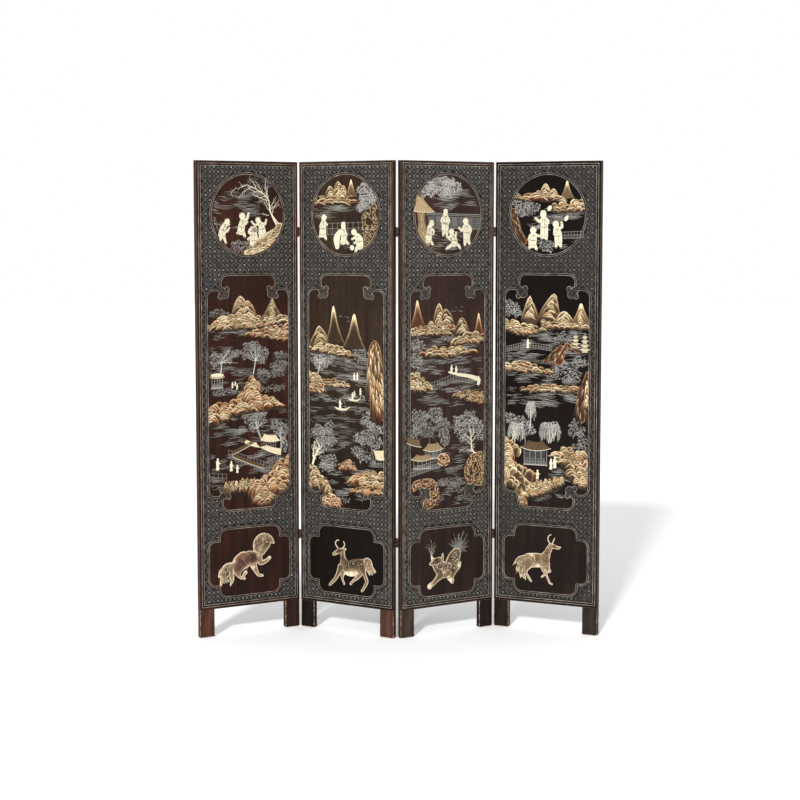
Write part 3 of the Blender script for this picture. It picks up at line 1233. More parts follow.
def boy(picture, head, spine, legs, arms, hair="tufts", rise=1.0):
    """Playing boy in a tunic: head and spine in (u, z, r), and the paths of his legs and arms."""
    bone = picture.bone
    u, z, r = head
    limbs = [tapered(leg, r * 0.62, r * 0.4) for leg in legs] + [np.array(spine, float)]
    limbs += [tapered(arm, r * 0.46, r * 0.4) for arm in arms]
    carve(picture, bone, limbs, rise, rim=0.74, inside=0.95, fade=2.4, line=0.16, cell=1.3)
    tunic(picture, spine, arms, rise)
    for leg in legs:
        toe = np.array(leg[-1]) - (0, r * 0.2)
        picture.disc(toe[0], toe[1], r * 0.34, rise * 0.95, 0.22)
    picture.disc(u, z, r, rise + 0.25, 0.96, tall=1.06)
    brow = rise + 0.2
    if hair == "tufts":
        for side in (-1, 1):
            picture.disc(u + side * r * 0.72, z + r * 0.78, r * 0.3, brow + 0.1, 0.14)
        picture.disc(u, z + r * 0.95, r * 0.24, brow + 0.1, 0.14)
    elif hair == "cap":
        cap = [(u - r, z + r * 0.35), (u - r * 0.6, z + r * 1.15), (u + r * 0.6, z + r * 1.15),
               (u + r, z + r * 0.35)]
        bone.slab(cap, brow + 0.2, 0.9)
        bone.strokes([[cap[0], cap[3]]], 1.2, 0.12, 0.15, brow + 0.16)
    elif hair == "back":
        picture.disc(u, z, r * 0.95, brow + 0.15, 0.3)
        return
    for side in (-1, 1):
        eye = u + side * r * 0.36
        bone.strokes([[(eye - r * 0.14, z + r * 0.02), (eye + r * 0.14, z + r * 0.02)]], 0.8, 0.1, 0.1, brow)
        bone.strokes([[(eye - r * 0.2, z + r * 0.24), (eye + r * 0.2, z + r * 0.26)]], 0.5, 0.08, 0.3, brow)
    bone.strokes([[(u - r * 0.16, z - r * 0.46), (u + r * 0.16, z - r * 0.46)]], 0.7, 0.1, 0.25, brow)
    bone.strokes([[(u, z + r * 0.02), (u + r * 0.06, z - r * 0.2)]], 0.5, 0.1, 0.5, brow)


# ---- the roundels: boys at play -------------------------------------------------------------
def roundel_1(p):
    p.water((64, 1618), (290, 1702), 90, (30, 90), (0.25, 0.6))
    p.water((70, 1500), (330, 1600), 40, (12, 36), (0.2, 0.45))
    p.foliage((0.3, 0.65), (185, 1502, 46, 28))
    p.foliage((0.35, 0.7), (72, 1590, 18, 22))
    p.foliage((0.12, 0.36), (258, 1740, 62, 30), leaf=11, apart=10)
    trunk = [(354, 1586), (332, 1612), (314, 1638), (312, 1660), (306, 1686), (282, 1708), (246, 1728),
             (212, 1740)]
    p.bare(trunk, 5.6, 2, twigs=13)
    p.bare([(352, 1576), (336, 1596), (318, 1632), (310, 1664)], 7.4, 0)
    for branch, width in (([(300, 1690), (296, 1722), (294, 1752), (299, 1768)], 1.9),
                          ([(314, 1645), (336, 1662), (354, 1682)], 2.2),
                          ([(309, 1624), (292, 1626), (278, 1632)], 1.8),
                          ([(214, 1740), (186, 1728), (160, 1722), (146, 1708)], 1.5),
                          ([(208, 1742), (196, 1734), (182, 1752)], 1.2)):
        p.bare(branch, width, 1, 0.92)
    carve(p, p.stone, [[(356, 1582, 13), (338, 1556, 20), (300, 1528, 26), (256, 1506, 22), (214, 1480, 12)],
                       [(352, 1552, 16), (318, 1514, 18), (262, 1484, 14)]],
          1.0, rim=0.95, inside=0.62, fade=8, line=0.1, bands=0.12)
    p.rocks([(232, 1512), (270, 1534), (312, 1556), (346, 1590), (362, 1600)],
            [(232, 1472), (300, 1480), (362, 1560)], (30, 26), 0.5, 0.06)
    boy(p, (130, 1600, 11), [(124, 1592, 8), (113, 1573, 13), (107, 1550, 15)],
        [[(104, 1545), (101, 1528)], [(114, 1545), (124, 1518)]],
        [[(121, 1584), (137, 1588)], [(116, 1570), (128, 1562), (138, 1575)]])
    boy(p, (194, 1621, 13), [(197, 1608, 9), (192, 1586, 14), (188, 1563, 15)],
        [[(182, 1560), (173, 1555)], [(198, 1558), (205, 1542)]],
        [[(203, 1606), (214, 1610), (221, 1630)], [(192, 1604), (206, 1592), (214, 1598)]])
    boy(p, (261, 1606, 11), [(268, 1597, 8), (277, 1578, 13), (280, 1554, 17)],
        [[(272, 1548), (266, 1526)], [(290, 1552), (295, 1538)]],
        [[(266, 1592), (248, 1587), (235, 1599)], [(284, 1592), (292, 1590), (297, 1606)]])
    boy(p, (246, 1568, 13), [(245, 1554, 12), (243, 1535, 17), (243, 1502, 17)],
        [[(234, 1500), (231, 1484)], [(253, 1500), (255, 1484)]],
        [[(234, 1552), (223, 1560), (234, 1577)], [(232, 1540), (219, 1533)]], "back", 1.1)


def roundel_2(p):
    p.water((66, 1604), (292, 1668), 80, (30, 90), (0.25, 0.6))
    p.water((90, 1490), (330, 1545), 40, (12, 36), (0.2, 0.5))
    p.hill(146, 1738, 1690, 30, 4)
    p.hill(208, 1740, 1690, 24, 4)
    p.hill(184, 1757, 1690, 32, 6)
    p.peak(243, 1760, 1694, 30, inside=0.32)
    p.rocks([(72, 1700), (150, 1702), (262, 1698)], 1668, (52, 16), fill=0.6, shade=-0.06)
    p.foliage((0.5, 0.9), (318, 1704, 46, 50), (290, 1660, 22, 34), (346, 1690, 22, 26), apart=5.5)
    p.fence((132, 1546), (300, 1550), 48, 8, 0.32, 2.2)
    p.holed_rock([(300, 1508), (324, 1500), (346, 1528), (352, 1556), (364, 1584), (362, 1610), (352, 1626),
                  (362, 1650), (350, 1668), (330, 1654), (330, 1634), (308, 1636), (292, 1616), (296, 1590),
                  (292, 1566), (302, 1548), (294, 1530)],
                 [(324, 1598, 15), (334, 1556, 5), (318, 1530, 6)], shade=-0.06, rust=0.1)
    boy(p, (117, 1616, 12), [(114, 1602, 9), (112, 1580, 14), (110, 1554, 16)],
        [[(104, 1548), (95, 1541)], [(119, 1548), (126, 1532)]],
        [[(108, 1598), (99, 1582)], [(120, 1598), (130, 1588)]])
    boy(p, (207, 1586, 11), [(207, 1575, 10), (209, 1552, 13), (207, 1524, 13)],
        [[(198, 1524), (197, 1514)], [(214, 1530), (230, 1513)]],
        [[(214, 1566), (222, 1548)], [(190, 1562), (178, 1548), (180, 1500)]], "cap")
    carve(p, p.bone, [[(190, 1562, 8), (176, 1536, 14), (178, 1504, 10)]], 0.9, rim=0.9, inside=0.97)
    boy(p, (256, 1560, 12), [(268, 1548, 9), (280, 1530, 17), (283, 1508, 16)],
        [[(270, 1500), (263, 1486)], [(290, 1504), (288, 1498)]],
        [[(264, 1540), (248, 1533)], [(272, 1524), (258, 1518)]])
    p.disc(247, 1500, 10, 1.0, 0.95)


def roundel_3(p):
    p.water((180, 1640), (370, 1716), 80, (30, 90), (0.25, 0.65))
    p.water((130, 1490), (300, 1570), 60, (20, 60), (0.2, 0.6))
    p.foliage((0.6, 1.0), (178, 1742, 66, 34), (118, 1722, 44, 38), (232, 1730, 46, 34),
              (206, 1704, 28, 20), apart=5.2)
    for z, tone in ((1632, 0.5), (1626, 0.4), (1577, 0.45)):
        p.pearl.strokes([[(116, z), (368, z - 6)]], 2.6, LOW_RELIEF, tone)
    for k in range(7):
        left = 124 + 36 * k
        p.pearl.slab(rectangle(left, left + 29, 1580 - k, 1621 - k), 0.25, 0.12 + 0.05 * (k % 2))
        p.pearl.strokes([[(left + 32.5, 1572 - k), (left + 32.5, 1628 - k)]], 2.4, 0.4, 0.3)
        for row in range(4):
            z = 1588 - k + 9 * row
            wall = [(left + 2, z), (left + 8, z + 4), (left + 14, z), (left + 20, z + 4), (left + 27, z)]
            p.pearl.strokes([wall], 1.5, 0.15, p.rng.uniform(0.2, 0.45), 0.25)
    carve(p, p.stone, [[(92, 1640, 20), (94, 1600, 17), (100, 1560, 24), (120, 1525, 22)]],
          0.7, rim=0.3, inside=0.62, bands=0.16, fade=5)
    p.roof([(62, 1636), (150, 1634), (96, 1690), (72, 1700)], 0.74, 9, curl=0.03)
    boy(p, (140, 1592, 11), [(131, 1578, 10), (128, 1556, 13), (126, 1532, 15)],
        [[(120, 1528), (117, 1517)], [(134, 1528), (147, 1511)]],
        [[(137, 1573), (150, 1564), (147, 1552)], [(126, 1570), (122, 1552)]], "cap")
    boy(p, (205, 1638, 10), [(204, 1625, 11), (203, 1602, 17), (203, 1566, 15)],
        [[(195, 1560), (194, 1545)], [(212, 1560), (211, 1538)]],
        [[(196, 1620), (185, 1602), (200, 1592)], [(212, 1620), (222, 1602), (208, 1586)]], "top")
    boy(p, (232, 1561, 12), [(237, 1546, 9), (247, 1532, 12), (246, 1516, 14)],
        [[(240, 1514), (222, 1503), (209, 1495)], [(252, 1516), (268, 1506), (274, 1496)]],
        [[(232, 1546), (220, 1538), (228, 1530)], [(250, 1538), (254, 1556)]])
    boy(p, (299, 1602, 13), [(302, 1588, 11), (304, 1565, 16), (305, 1535, 16)],
        [[(297, 1525), (296, 1508)], [(313, 1525), (318, 1513)]],
        [[(292, 1582), (282, 1566), (269, 1575)], [(315, 1582), (324, 1568), (318, 1552)]])


def roundel_4(p):
    p.water((190, 1570), (370, 1640), 70, (30, 90), (0.25, 0.6))
    p.water((90, 1560), (220, 1625), 50, (12, 40), (0.3, 0.8))
    p.water((120, 1480), (340, 1540), 40, (12, 40), (0.2, 0.5))
    p.hill(240, 1728, 1688, 26, 4)
    p.hill(178, 1722, 1688, 22, 3)
    p.hill(208, 1748, 1688, 32, 6)
    p.peak(296, 1755, 1688, 32, inside=0.35)
    p.rocks([(86, 1706), (160, 1712), (290, 1700)], 1686, (56, 16), fill=0.6)
    p.rocks([(246, 1676), (300, 1684), (368, 1688)], 1640, (30, 20), fill=0.6)
    p.foliage((0.35, 0.75), (112, 1668, 46, 30), (150, 1652, 36, 24), (96, 1632, 28, 26),
              (84, 1700, 24, 12))
    p.cliff([(74, 1640, 12), (84, 1600, 13), (98, 1560, 13), (120, 1522, 12)], 12, shade=-0.1)
    p.fence((276, 1532), (364, 1536), 28, 8, 0.5)
    p.foliage((0.35, 0.75), (216, 1502, 30, 26))
    boy(p, (158, 1567, 13), [(157, 1553, 10), (156, 1534, 17), (154, 1514, 16)],
        [[(148, 1510), (142, 1497)], [(163, 1510), (172, 1493)]],
        [[(164, 1550), (182, 1544)], [(146, 1546), (139, 1530)]])
    boy(p, (199, 1628, 13), [(201, 1613, 11), (203, 1586, 15), (203, 1550, 16)],
        [[(195, 1545), (194, 1535)], [(211, 1545), (212, 1531)]],
        [[(193, 1608), (183, 1600), (168, 1612)], [(210, 1610), (219, 1600), (212, 1584)]], "cap")
    p.disc(225, 1651, 8, 1.0, 0.95, tall=1.4, turn=-35)
    boy(p, (251, 1591, 13), [(254, 1576, 11), (260, 1552, 15), (262, 1525, 16)],
        [[(255, 1520), (252, 1503)], [(268, 1520), (272, 1503)]],
        [[(247, 1572), (245, 1552)], [(264, 1574), (276, 1580), (274, 1596)]])
    p.disc(294, 1612, 7, 1.0, 0.95, tall=1.7, turn=-30)


# ---- the tall pictures: lakes and mountains -------------------------------------------------
def tall_1(p):
    p.water((48, 1150), (386, 1200), 120, (20, 80))
    p.water((48, 930), (386, 1110), 210, (15, 60), (0.15, 0.5))
    p.water((48, 740), (386, 900), 200, (20, 70))
    p.water((48, 520), (386, 700), 220, (15, 60))
    p.hill(212, 1300, 1222, 38, 8, lean=10)
    p.hill(182, 1318, 1222, 44, 10, point=0.35)
    p.peak(320, 1300, 1226, 56, inside=0.3)
    p.hill(320, 1307, 1228, 28, 8, point=0.7)
    p.rocks([(50, 1208), (90, 1236), (140, 1250), (210, 1248), (290, 1240), (386, 1240)],
            [(50, 1192), (250, 1194), (386, 1212)], (40, 26))
    p.rocks([(212, 1176), (300, 1196), (386, 1206)], [(212, 1166), (320, 1150), (386, 1140)], (28, 20),
            rust=0.5)
    p.foliage((0.3, 0.6), (88, 1250, 44, 16), (280, 1208, 90, 10), leaf=7)
    p.tree([(236, 1012), (242, 1040), (246, 1062)],
           [(222, 1102, 38, 34), (272, 1086, 32, 34), (246, 1118, 26, 20)])
    p.tree([(96, 1020), (100, 1040), (98, 1060)],
           [(82, 1074, 34, 28), (132, 1082, 34, 26), (166, 1094, 22, 14)])
    p.foliage((0.25, 0.6), (358, 1078, 34, 18), (350, 1040, 38, 22), (336, 1008, 36, 16),
              (278, 1010, 26, 20), leaf=10)
    p.pavilion(54, 110, 966, 1002, 1008, 0.5)
    p.disc(82, 1013, 28, 0.95, 0.92, tall=0.3)
    p.figures((146, 962, 24), (166, 956, 22), (158, 970, 18))
    p.rocks([(184, 946), (208, 986), (232, 1012), (262, 980), (272, 946)], 926, (32, 30), rust=0.8)
    p.foliage((0.35, 0.65), (120, 946, 70, 12), leaf=7)
    p.foliage((0.3, 0.6), (318, 952, 60, 14), leaf=7)
    p.rocks([(48, 900), (120, 918), (180, 932), (214, 950), (250, 944), (318, 924)],
            [(48, 836), (80, 824), (120, 856), (200, 868), (318, 884)], (44, 46), rust=0.7)
    p.tree([(268, 762), (258, 782), (254, 800)], [(222, 846, 36, 26), (262, 836, 36, 34), (240, 806, 24, 20)])
    p.tree([(352, 690), (356, 730), (352, 760)], [(338, 800, 28, 28), (366, 780, 22, 40), (372, 730, 16, 30)])
    p.fence((128, 688), (292, 628), 36, 13, 0.45)
    p.fence((292, 628), (352, 660), 34, 6, 0.4)
    p.fence((296, 656), (350, 668), 24, 6, 0.4)
    p.roof([(150, 690), (276, 640), (272, 654), (148, 706)], 0.3, 18, curl=0.02)
    p.roof([(146, 702), (240, 742), (232, 752), (140, 714)], 0.3, 14, curl=0.02)
    p.roof([(200, 742), (262, 722), (246, 744), (200, 758)], 0.95, curl=0.06)
    p.roof([(268, 748), (348, 742), (332, 768), (282, 774)], 0.95, curl=0.08)
    p.roof([(268, 720), (350, 688), (360, 712), (292, 730)], 0.95, curl=0.06)
    p.fence((270, 716), (332, 716), 24, 7, 0.5, cross=False)
    p.figures((80, 648, 46), (138, 640, 40), (164, 632, 32))
    p.fence((46, 604), (118, 596), 34, 5, 0.4)
    p.rocks([(250, 604), (300, 622), (340, 668), (386, 690)],
            [(250, 520), (300, 500), (340, 548), (386, 556)], (44, 46), rust=0.7)
    p.rocks([(116, 604), (180, 612), (250, 606)], 556, (15, 44), fill=0.7, shade=-0.03)


def tall_2(p):
    p.water((48, 900), (330, 1110), 260, (20, 80))
    p.water((48, 700), (330, 880), 220, (20, 80), (0.15, 0.5))
    p.water((100, 520), (386, 660), 200, (15, 70))
    p.peak(165, 1276, 1132, 46, -6, inside=0.08)
    p.peak(254, 1247, 1112, 56, 2, inside=0.08)
    p.birds(211, 1228, 6)
    p.hill(92, 1198, 1108, 60, 10, lean=6, point=0.7)
    p.rocks([(50, 1120), (120, 1130), (180, 1124), (244, 1104)], [(50, 1104), (244, 1080)], (34, 20))
    p.cliff([(350, 1138, 9), (350, 1104, 27), (352, 1010, 38), (362, 950, 30), (372, 900, 20),
             (382, 850, 10)], 54, rust=0.6)
    p.tree([(84, 1010), (92, 1032), (94, 1050)],
           [(78, 1084, 40, 36), (126, 1080, 38, 34), (100, 1050, 44, 24)], tone=(0.4, 0.9))
    p.foliage((0.35, 0.7), (284, 1090, 36, 32))
    p.rocks([(48, 1020), (84, 1014), (108, 990), (116, 962)], 936, (24, 22))
    p.rocks([(112, 990), (170, 994), (232, 978)], 964, (26, 14))
    p.figures((256, 992, 28), (270, 992, 30), (284, 936, 26), (256, 928, 22))
    p.pearl.strokes([[(238, 992), (312, 990)]], 3.0, 0.5, 0.6)
    p.boat(200, 872, 72)
    p.boat(256, 910, 58)
    p.foliage((0.4, 0.7), (292, 926, 24, 10), leaf=7)
    p.bare([(58, 650), (66, 680), (84, 706), (92, 730)], 9, 2, 0.97, twigs=8)
    p.bare([(64, 660), (62, 700), (70, 744)], 6, 1, 0.95, twigs=6)
    p.foliage((0.4, 0.75), (140, 802, 22, 24), (84, 776, 34, 34), (126, 756, 46, 36), (96, 722, 42, 22),
              (136, 672, 42, 26), (122, 644, 30, 18))
    p.tree([(344, 690), (334, 730), (326, 770)],
           [(322, 838, 36, 40), (348, 800, 40, 30), (290, 770, 34, 28), (350, 756, 40, 26),
            (270, 716, 28, 20)], 5, 0.2, (0.4, 0.8))
    p.foliage((0.4, 0.75), (298, 690, 34, 18))
    p.roof([(356, 690), (392, 688), (390, 726), (344, 724)], 0.9)
    p.pearl.strokes([[(322, 690), (340, 724), (362, 688)]], 2.4, 0.6, 0.5)
    p.fence((328, 660), (390, 660), 28, 6, 0.5)
    p.disc(344, 676, 9, 0.5, 0.25, p.pearl)
    p.rocks([(186, 662), (226, 688), (266, 664)], 640, (22, 20), shade=-0.1, rust=0.8)
    p.rocks([(212, 606), (262, 624), (320, 648), (390, 648)], [(212, 596), (300, 588), (390, 580)], (44, 30))
    p.rocks([(246, 572), (330, 590), (386, 584)], 556, (30, 16), shade=-0.1, rust=0.7)
    p.rocks([(48, 652), (80, 646), (118, 606), (150, 560), (178, 520)],
            [(48, 560), (100, 556), (178, 500)], (38, 42))
    p.rocks([(104, 524), (140, 548), (188, 516)], 492, (30, 30), rust=0.5)
    p.foliage((0.3, 0.6), (200, 520, 40, 12), leaf=6)


def tall_3(p):
    p.water((48, 1040), (386, 1170), 170, (20, 80))
    p.water((48, 890), (386, 1060), 210, (20, 80))
    p.water((140, 500), (386, 720), 210, (15, 60))
    p.water((225, 700), (386, 880), 60, (15, 60), (0.15, 0.4))
    p.peak(77, 1302, 1194, 40, -2, inside=0.2, rust=True)
    p.peak(363, 1246, 1150, 32, 0, inside=0.2, rust=True)
    p.hill(204, 1268, 1192, 40, 6, lean=10)
    p.hill(138, 1222, 1190, 24, 3)
    p.hill(175, 1292, 1192, 32, 7)
    p.hill(281, 1232, 1168, 38, 6, lean=4)
    p.birds(260, 1263, 7)
    p.rocks([(48, 1196), (90, 1206), (150, 1206), (240, 1204)], 1168, (28, 20))
    p.rocks([(244, 1150), (300, 1176), (350, 1176), (390, 1164)], 1132, (36, 22))
    p.rocks([(100, 1106), (150, 1126), (240, 1124), (300, 1114), (362, 1100)],
            [(100, 1092), (200, 1084), (362, 1094)], (44, 20))
    p.foliage((0.4, 0.8), (214, 1172, 44, 24), (236, 1150, 36, 16), (76, 1124, 34, 32), (70, 1070, 32, 36))
    p.rocks([(48, 1028), (76, 1030), (106, 1004), (140, 972)], 956, (24, 22))
    p.fence((142, 950), (256, 984), 32, 10, 0.45)
    p.fence((256, 984), (362, 962), 26, 8, 0.45)
    carve(p, p.bone, [tapered([(224, 1020), (270, 1008), (320, 1000), (352, 990)], 4, 9)], 0.8, 0.95, 0.8)
    p.figures((234, 1014, 34), (256, 1010, 34), (362, 964, 36), (368, 970, 24))
    p.rocks([(252, 940), (300, 952), (350, 944), (390, 940)], [(252, 926), (330, 900), (390, 890)],
            (28, 24), shade=-0.06)
    p.tree([(134, 716), (132, 760), (126, 790)],
           [(84, 842, 42, 40), (150, 858, 50, 28), (186, 816, 38, 36), (112, 800, 44, 30),
            (202, 766, 26, 34), (64, 792, 20, 28)], 6, 0.12)
    p.bare([(352, 694), (332, 712), (330, 750), (326, 790)], 7, 2, 0.95, twigs=8)
    p.foliage((0.5, 0.9), (312, 832, 50, 30), (284, 792, 38, 34), (350, 800, 40, 38), (262, 832, 22, 18),
              (370, 760, 20, 20), (300, 756, 28, 16), (306, 712, 30, 14))
    p.roof([(30, 752), (92, 734), (84, 764), (30, 776)], 0.42, curl=0.05)
    p.pearl.slab([(106, 690), (182, 690), (182, 720), (106, 716)], 0.12, 0.06)
    p.pavilion(106, 192, 690, 718, 746, 0.62)
    p.pavilion(50, 146, 654, 684, 704, 0.62)
    p.holed_rock([(170, 672), (176, 700), (200, 706), (222, 692), (226, 668), (206, 656), (184, 660)],
                 [(202, 684, 6)], shade=0.15)
    p.fence((46, 622), (178, 650), 34, 14, 0.55)
    p.holed_rock([(302, 600), (298, 640), (318, 680), (348, 698), (388, 690), (388, 574), (350, 572),
                  (318, 576)], [(350, 650, 9), (330, 618, 8), (362, 610, 9)])
    p.holed_rock([(50, 566), (60, 604), (110, 612), (150, 606), (176, 566), (174, 530), (150, 500),
                  (112, 494), (104, 520), (128, 540), (118, 566), (84, 576)],
                 [(142, 568, 8), (152, 532, 7)])
    p.foliage((0.3, 0.6), (240, 590, 70, 20), (300, 556, 60, 14), leaf=6)


def tall_4(p):
    p.water((48, 1040), (386, 1200), 240, (20, 80))
    p.water((48, 880), (340, 1010), 200, (20, 80))
    p.water((100, 500), (300, 640), 110, (15, 60))
    p.hill(146, 1316, 1222, 40, 10, point=0.9)
    p.hill(249, 1325, 1220, 46, 12, lean=-24)
    p.peak(357, 1288, 1206, 48, inside=0.36)
    p.hill(357, 1262, 1206, 26, 5, point=0.8)
    p.hill(288, 1258, 1200, 46, 6)
    p.foliage((0.45, 0.85), (66, 1264, 34, 32), (96, 1240, 26, 16))
    p.rocks([(48, 1226), (84, 1222), (140, 1206), (212, 1190)], [(48, 1180), (120, 1164), (212, 1180)],
            (34, 24))
    p.rocks([(200, 1222), (300, 1214), (388, 1208)], 1192, (30, 18))
    p.foliage((0.3, 0.6), (282, 1150, 40, 24))
    p.pagoda(336, 1108, 1172, 34)
    p.pagoda(374, 1098, 1174, 38)
    p.cliff([(276, 1118, 8), (252, 1094, 11), (226, 1070, 11), (210, 1058, 7)], 8, shade=-0.12)
    p.cliff([(304, 1124, 9), (326, 1118, 10), (346, 1102, 8)], 6, shade=-0.08)
    p.cliff([(300, 1124, 9), (286, 1104, 13), (274, 1084, 16), (268, 1066, 20)], 8)
    p.fence((50, 1092), (128, 1112), 22, 9, 0.55)
    p.fence((128, 1112), (238, 1100), 22, 11, 0.55)
    p.figures((138, 1110, 36))
    p.rocks([(52, 1052), (110, 1066), (170, 1050), (222, 1030)], [(52, 1024), (222, 1014)], (32, 18))
    p.foliage((0.35, 0.7), (246, 1016, 32, 26), (284, 1036, 34, 28), (330, 1010, 30, 26),
              (352, 1060, 34, 24))
    p.fence((284, 978), (318, 978), 16, 5, 0.5)
    p.pearl.strokes([[(280, 994), (300, 1010), (322, 994)]], 2.6, 0.7, 0.55)
    p.rocks([(124, 960), (200, 976), (336, 970)], 944, (34, 16), shade=-0.03)
    p.cliff([(384, 1020, 6), (378, 980, 14), (370, 936, 24), (362, 896, 21), (364, 860, 14),
             (368, 836, 8)], 14, shade=-0.12)
    p.hill(384, 1000, 880, 15, 5, lift=0.35)
    p.willow((150, 800), (152, 886), 20, 60, 24)
    p.foliage((0.45, 0.85), (66, 830, 22, 26), (110, 812, 40, 30), (150, 790, 22, 26))
    p.willow((82, 730), (92, 800), 38, 60, 30)
    p.willow((228, 742), (232, 808), 48, 66, 36)
    p.bare([(70, 740), (84, 770), (76, 800)], 4, 2, 0.9)
    p.bare([(236, 742), (244, 770), (262, 790)], 3, 2, 0.8)
    p.foliage((0.3, 0.6), (340, 800, 34, 36), (368, 756, 24, 30), (350, 726, 34, 16))
    p.pearl.slab(rectangle(128, 214, 658, 712), 0.12, 0.06)
    p.pavilion(114, 232, 656, 712, 742, 0.3)
    p.figures((182, 598, 38), (238, 640, 42), (254, 646, 46))
    p.rocks([(48, 764), (76, 742), (100, 680), (108, 620)], [(48, 562), (108, 570)], (40, 54))
    p.rocks([(262, 716), (300, 750), (340, 722), (388, 718)],
            [(262, 690), (300, 660), (340, 590), (388, 572)], (36, 40), shade=-0.04)
    p.rocks([(118, 566), (150, 590), (220, 604), (290, 618)], [(118, 520), (200, 540), (290, 590)], (22, 46),
            shade=-0.05)
    p.rocks([(92, 572), (106, 560), (120, 544), (140, 516)], 494, (15, 18), shade=-0.1)


# ---- the low pictures: a beast each ---------------------------------------------------------
def beast(p, limbs, spots=(), rise=1.1, inside=0.4, fade=5.0):
    """Limbs of a beast in the stone of the hides."""
    carve(p, p.hide, limbs, rise, rim=0.98, inside=inside, fade=fade, line=0.0, spots=spots)


def curls(p, piece, limb, apart, size, tones, lift):
    """Small open rings over a limb, for a mane or a woolly tail."""
    rng = p.rng
    at = inside_limb(p, limb, apart)
    start = rng.uniform(0, 2 * math.pi, (len(at), 1))
    reach = size * rng.uniform(0.7, 1.1, (len(at), 1, 1))
    around = start + np.linspace(0, 4.2, 7)
    curl = np.stack([np.cos(around), np.sin(around)], -1)
    paths = at[:, None] + reach * curl * np.linspace(1, 0.5, 7)[:, None]
    piece.strokes(paths, 1.3, 0.25, rng.uniform(*tones, (len(at), 1)), lift)


def crease(p, points, width, tone, lift):
    """Fine curved line on a beast."""
    p.hide.stroke(smooth(points), width, 0.2, tone, lift)


def horns(p, *paths):
    for path in paths:
        p.hide.stroke(smooth(path), 4.6, 0.5, 0.85, 0.8, 0.75)


def low_1(p):
    """Lion-dog with a curled mane and a bushy tail."""
    p.rusty.material = RUDDY
    beast(p, [[(92, 250, 10), (84, 236, 5), (80, 230, 2)],
              [(140, 268, 15), (118, 256, 24), (104, 238, 18)],
              [(102, 236, 16), (94, 212, 8), (86, 190, 2)],
              [(132, 240, 13), (138, 214, 8), (130, 192, 2)]],
          [(118, 246, 16, 0.25)], inside=0.5, fade=7.0)
    fur(p, p.hide, [(130, 262, 16), (112, 248, 20), (104, 228, 14)], 250, 12, 4.8, (0.0, 1.1), 1.08, 2.2)
    fur(p, p.hide, [(98, 218, 10), (134, 216, 9)], 250, 11, 4.8, (0.0, 1.1), 0.9, 2.2)
    carve(p, p.rusty, [[(232, 262, 14), (244, 236, 8), (254, 222, 6), (270, 219, 5)],
                       [(214, 292, 30), (236, 292, 25)],
                       [(196, 238, 8), (186, 222, 5), (192, 214, 5)],
                       [(160, 250, 18), (168, 226, 7), (180, 217, 5), (190, 216, 4)],
                       [(188, 286, 35), (170, 276, 31), (164, 258, 23)]],
          1.1, rim=1.0, inside=0.24, fade=10.0, line=0.0,
          spots=[(166, 258, 16, 0.3), (222, 292, 16, 0.15), (206, 248, 14, 1.0), (230, 256, 9, 0.95),
                 (146, 286, 12, 0.85), (186, 300, 12, 0.6)])
    fur(p, p.rusty, [(212, 304, 16), (186, 300, 20), (166, 268, 18)], 245, 8, 7.5, (0.1, 0.8), 1.1, 1.5)
    beast(p, [[(254, 302, 15), (262, 272, 11), (284, 274, 8), (302, 286, 7)],
              [(266, 314, 16), (282, 334, 18), (298, 340, 9)],
              [(246, 326, 15), (252, 348, 21), (270, 362, 24), (294, 362, 18), (312, 352, 9), (321, 343, 3)]],
          [(290, 346, 10, 0.15), (262, 322, 8, 0.8), (254, 300, 8, 0.8), (300, 286, 6, 0.9)],
          inside=0.42, rise=1.15, fade=6.0)
    curls(p, p.hide, [(248, 322, 12), (254, 348, 19), (272, 366, 19), (294, 372, 9)], 6.4, 3.0,
          (0.0, 1.1), 1.16)
    curls(p, p.hide, [(252, 300, 9), (248, 282, 6)], 5.5, 2.4, (0.1, 0.9), 1.1)
    p.disc(290, 350, 5.5, 1.45, 0.6, tall=0.7)
    p.disc(292, 350, 2.8, 1.5, 0.02)
    p.bone.stroke([(294, 334), (306, 337), (318, 344)], 2.2, 0.15, 0.05, 1.16)
    crease(p, [(180, 292), (190, 274), (198, 258), (190, 244), (180, 236)], 3.0, 0.0, 1.12)
    crease(p, [(184, 294), (195, 276), (204, 258), (197, 242)], 2.0, 0.7, 1.12)


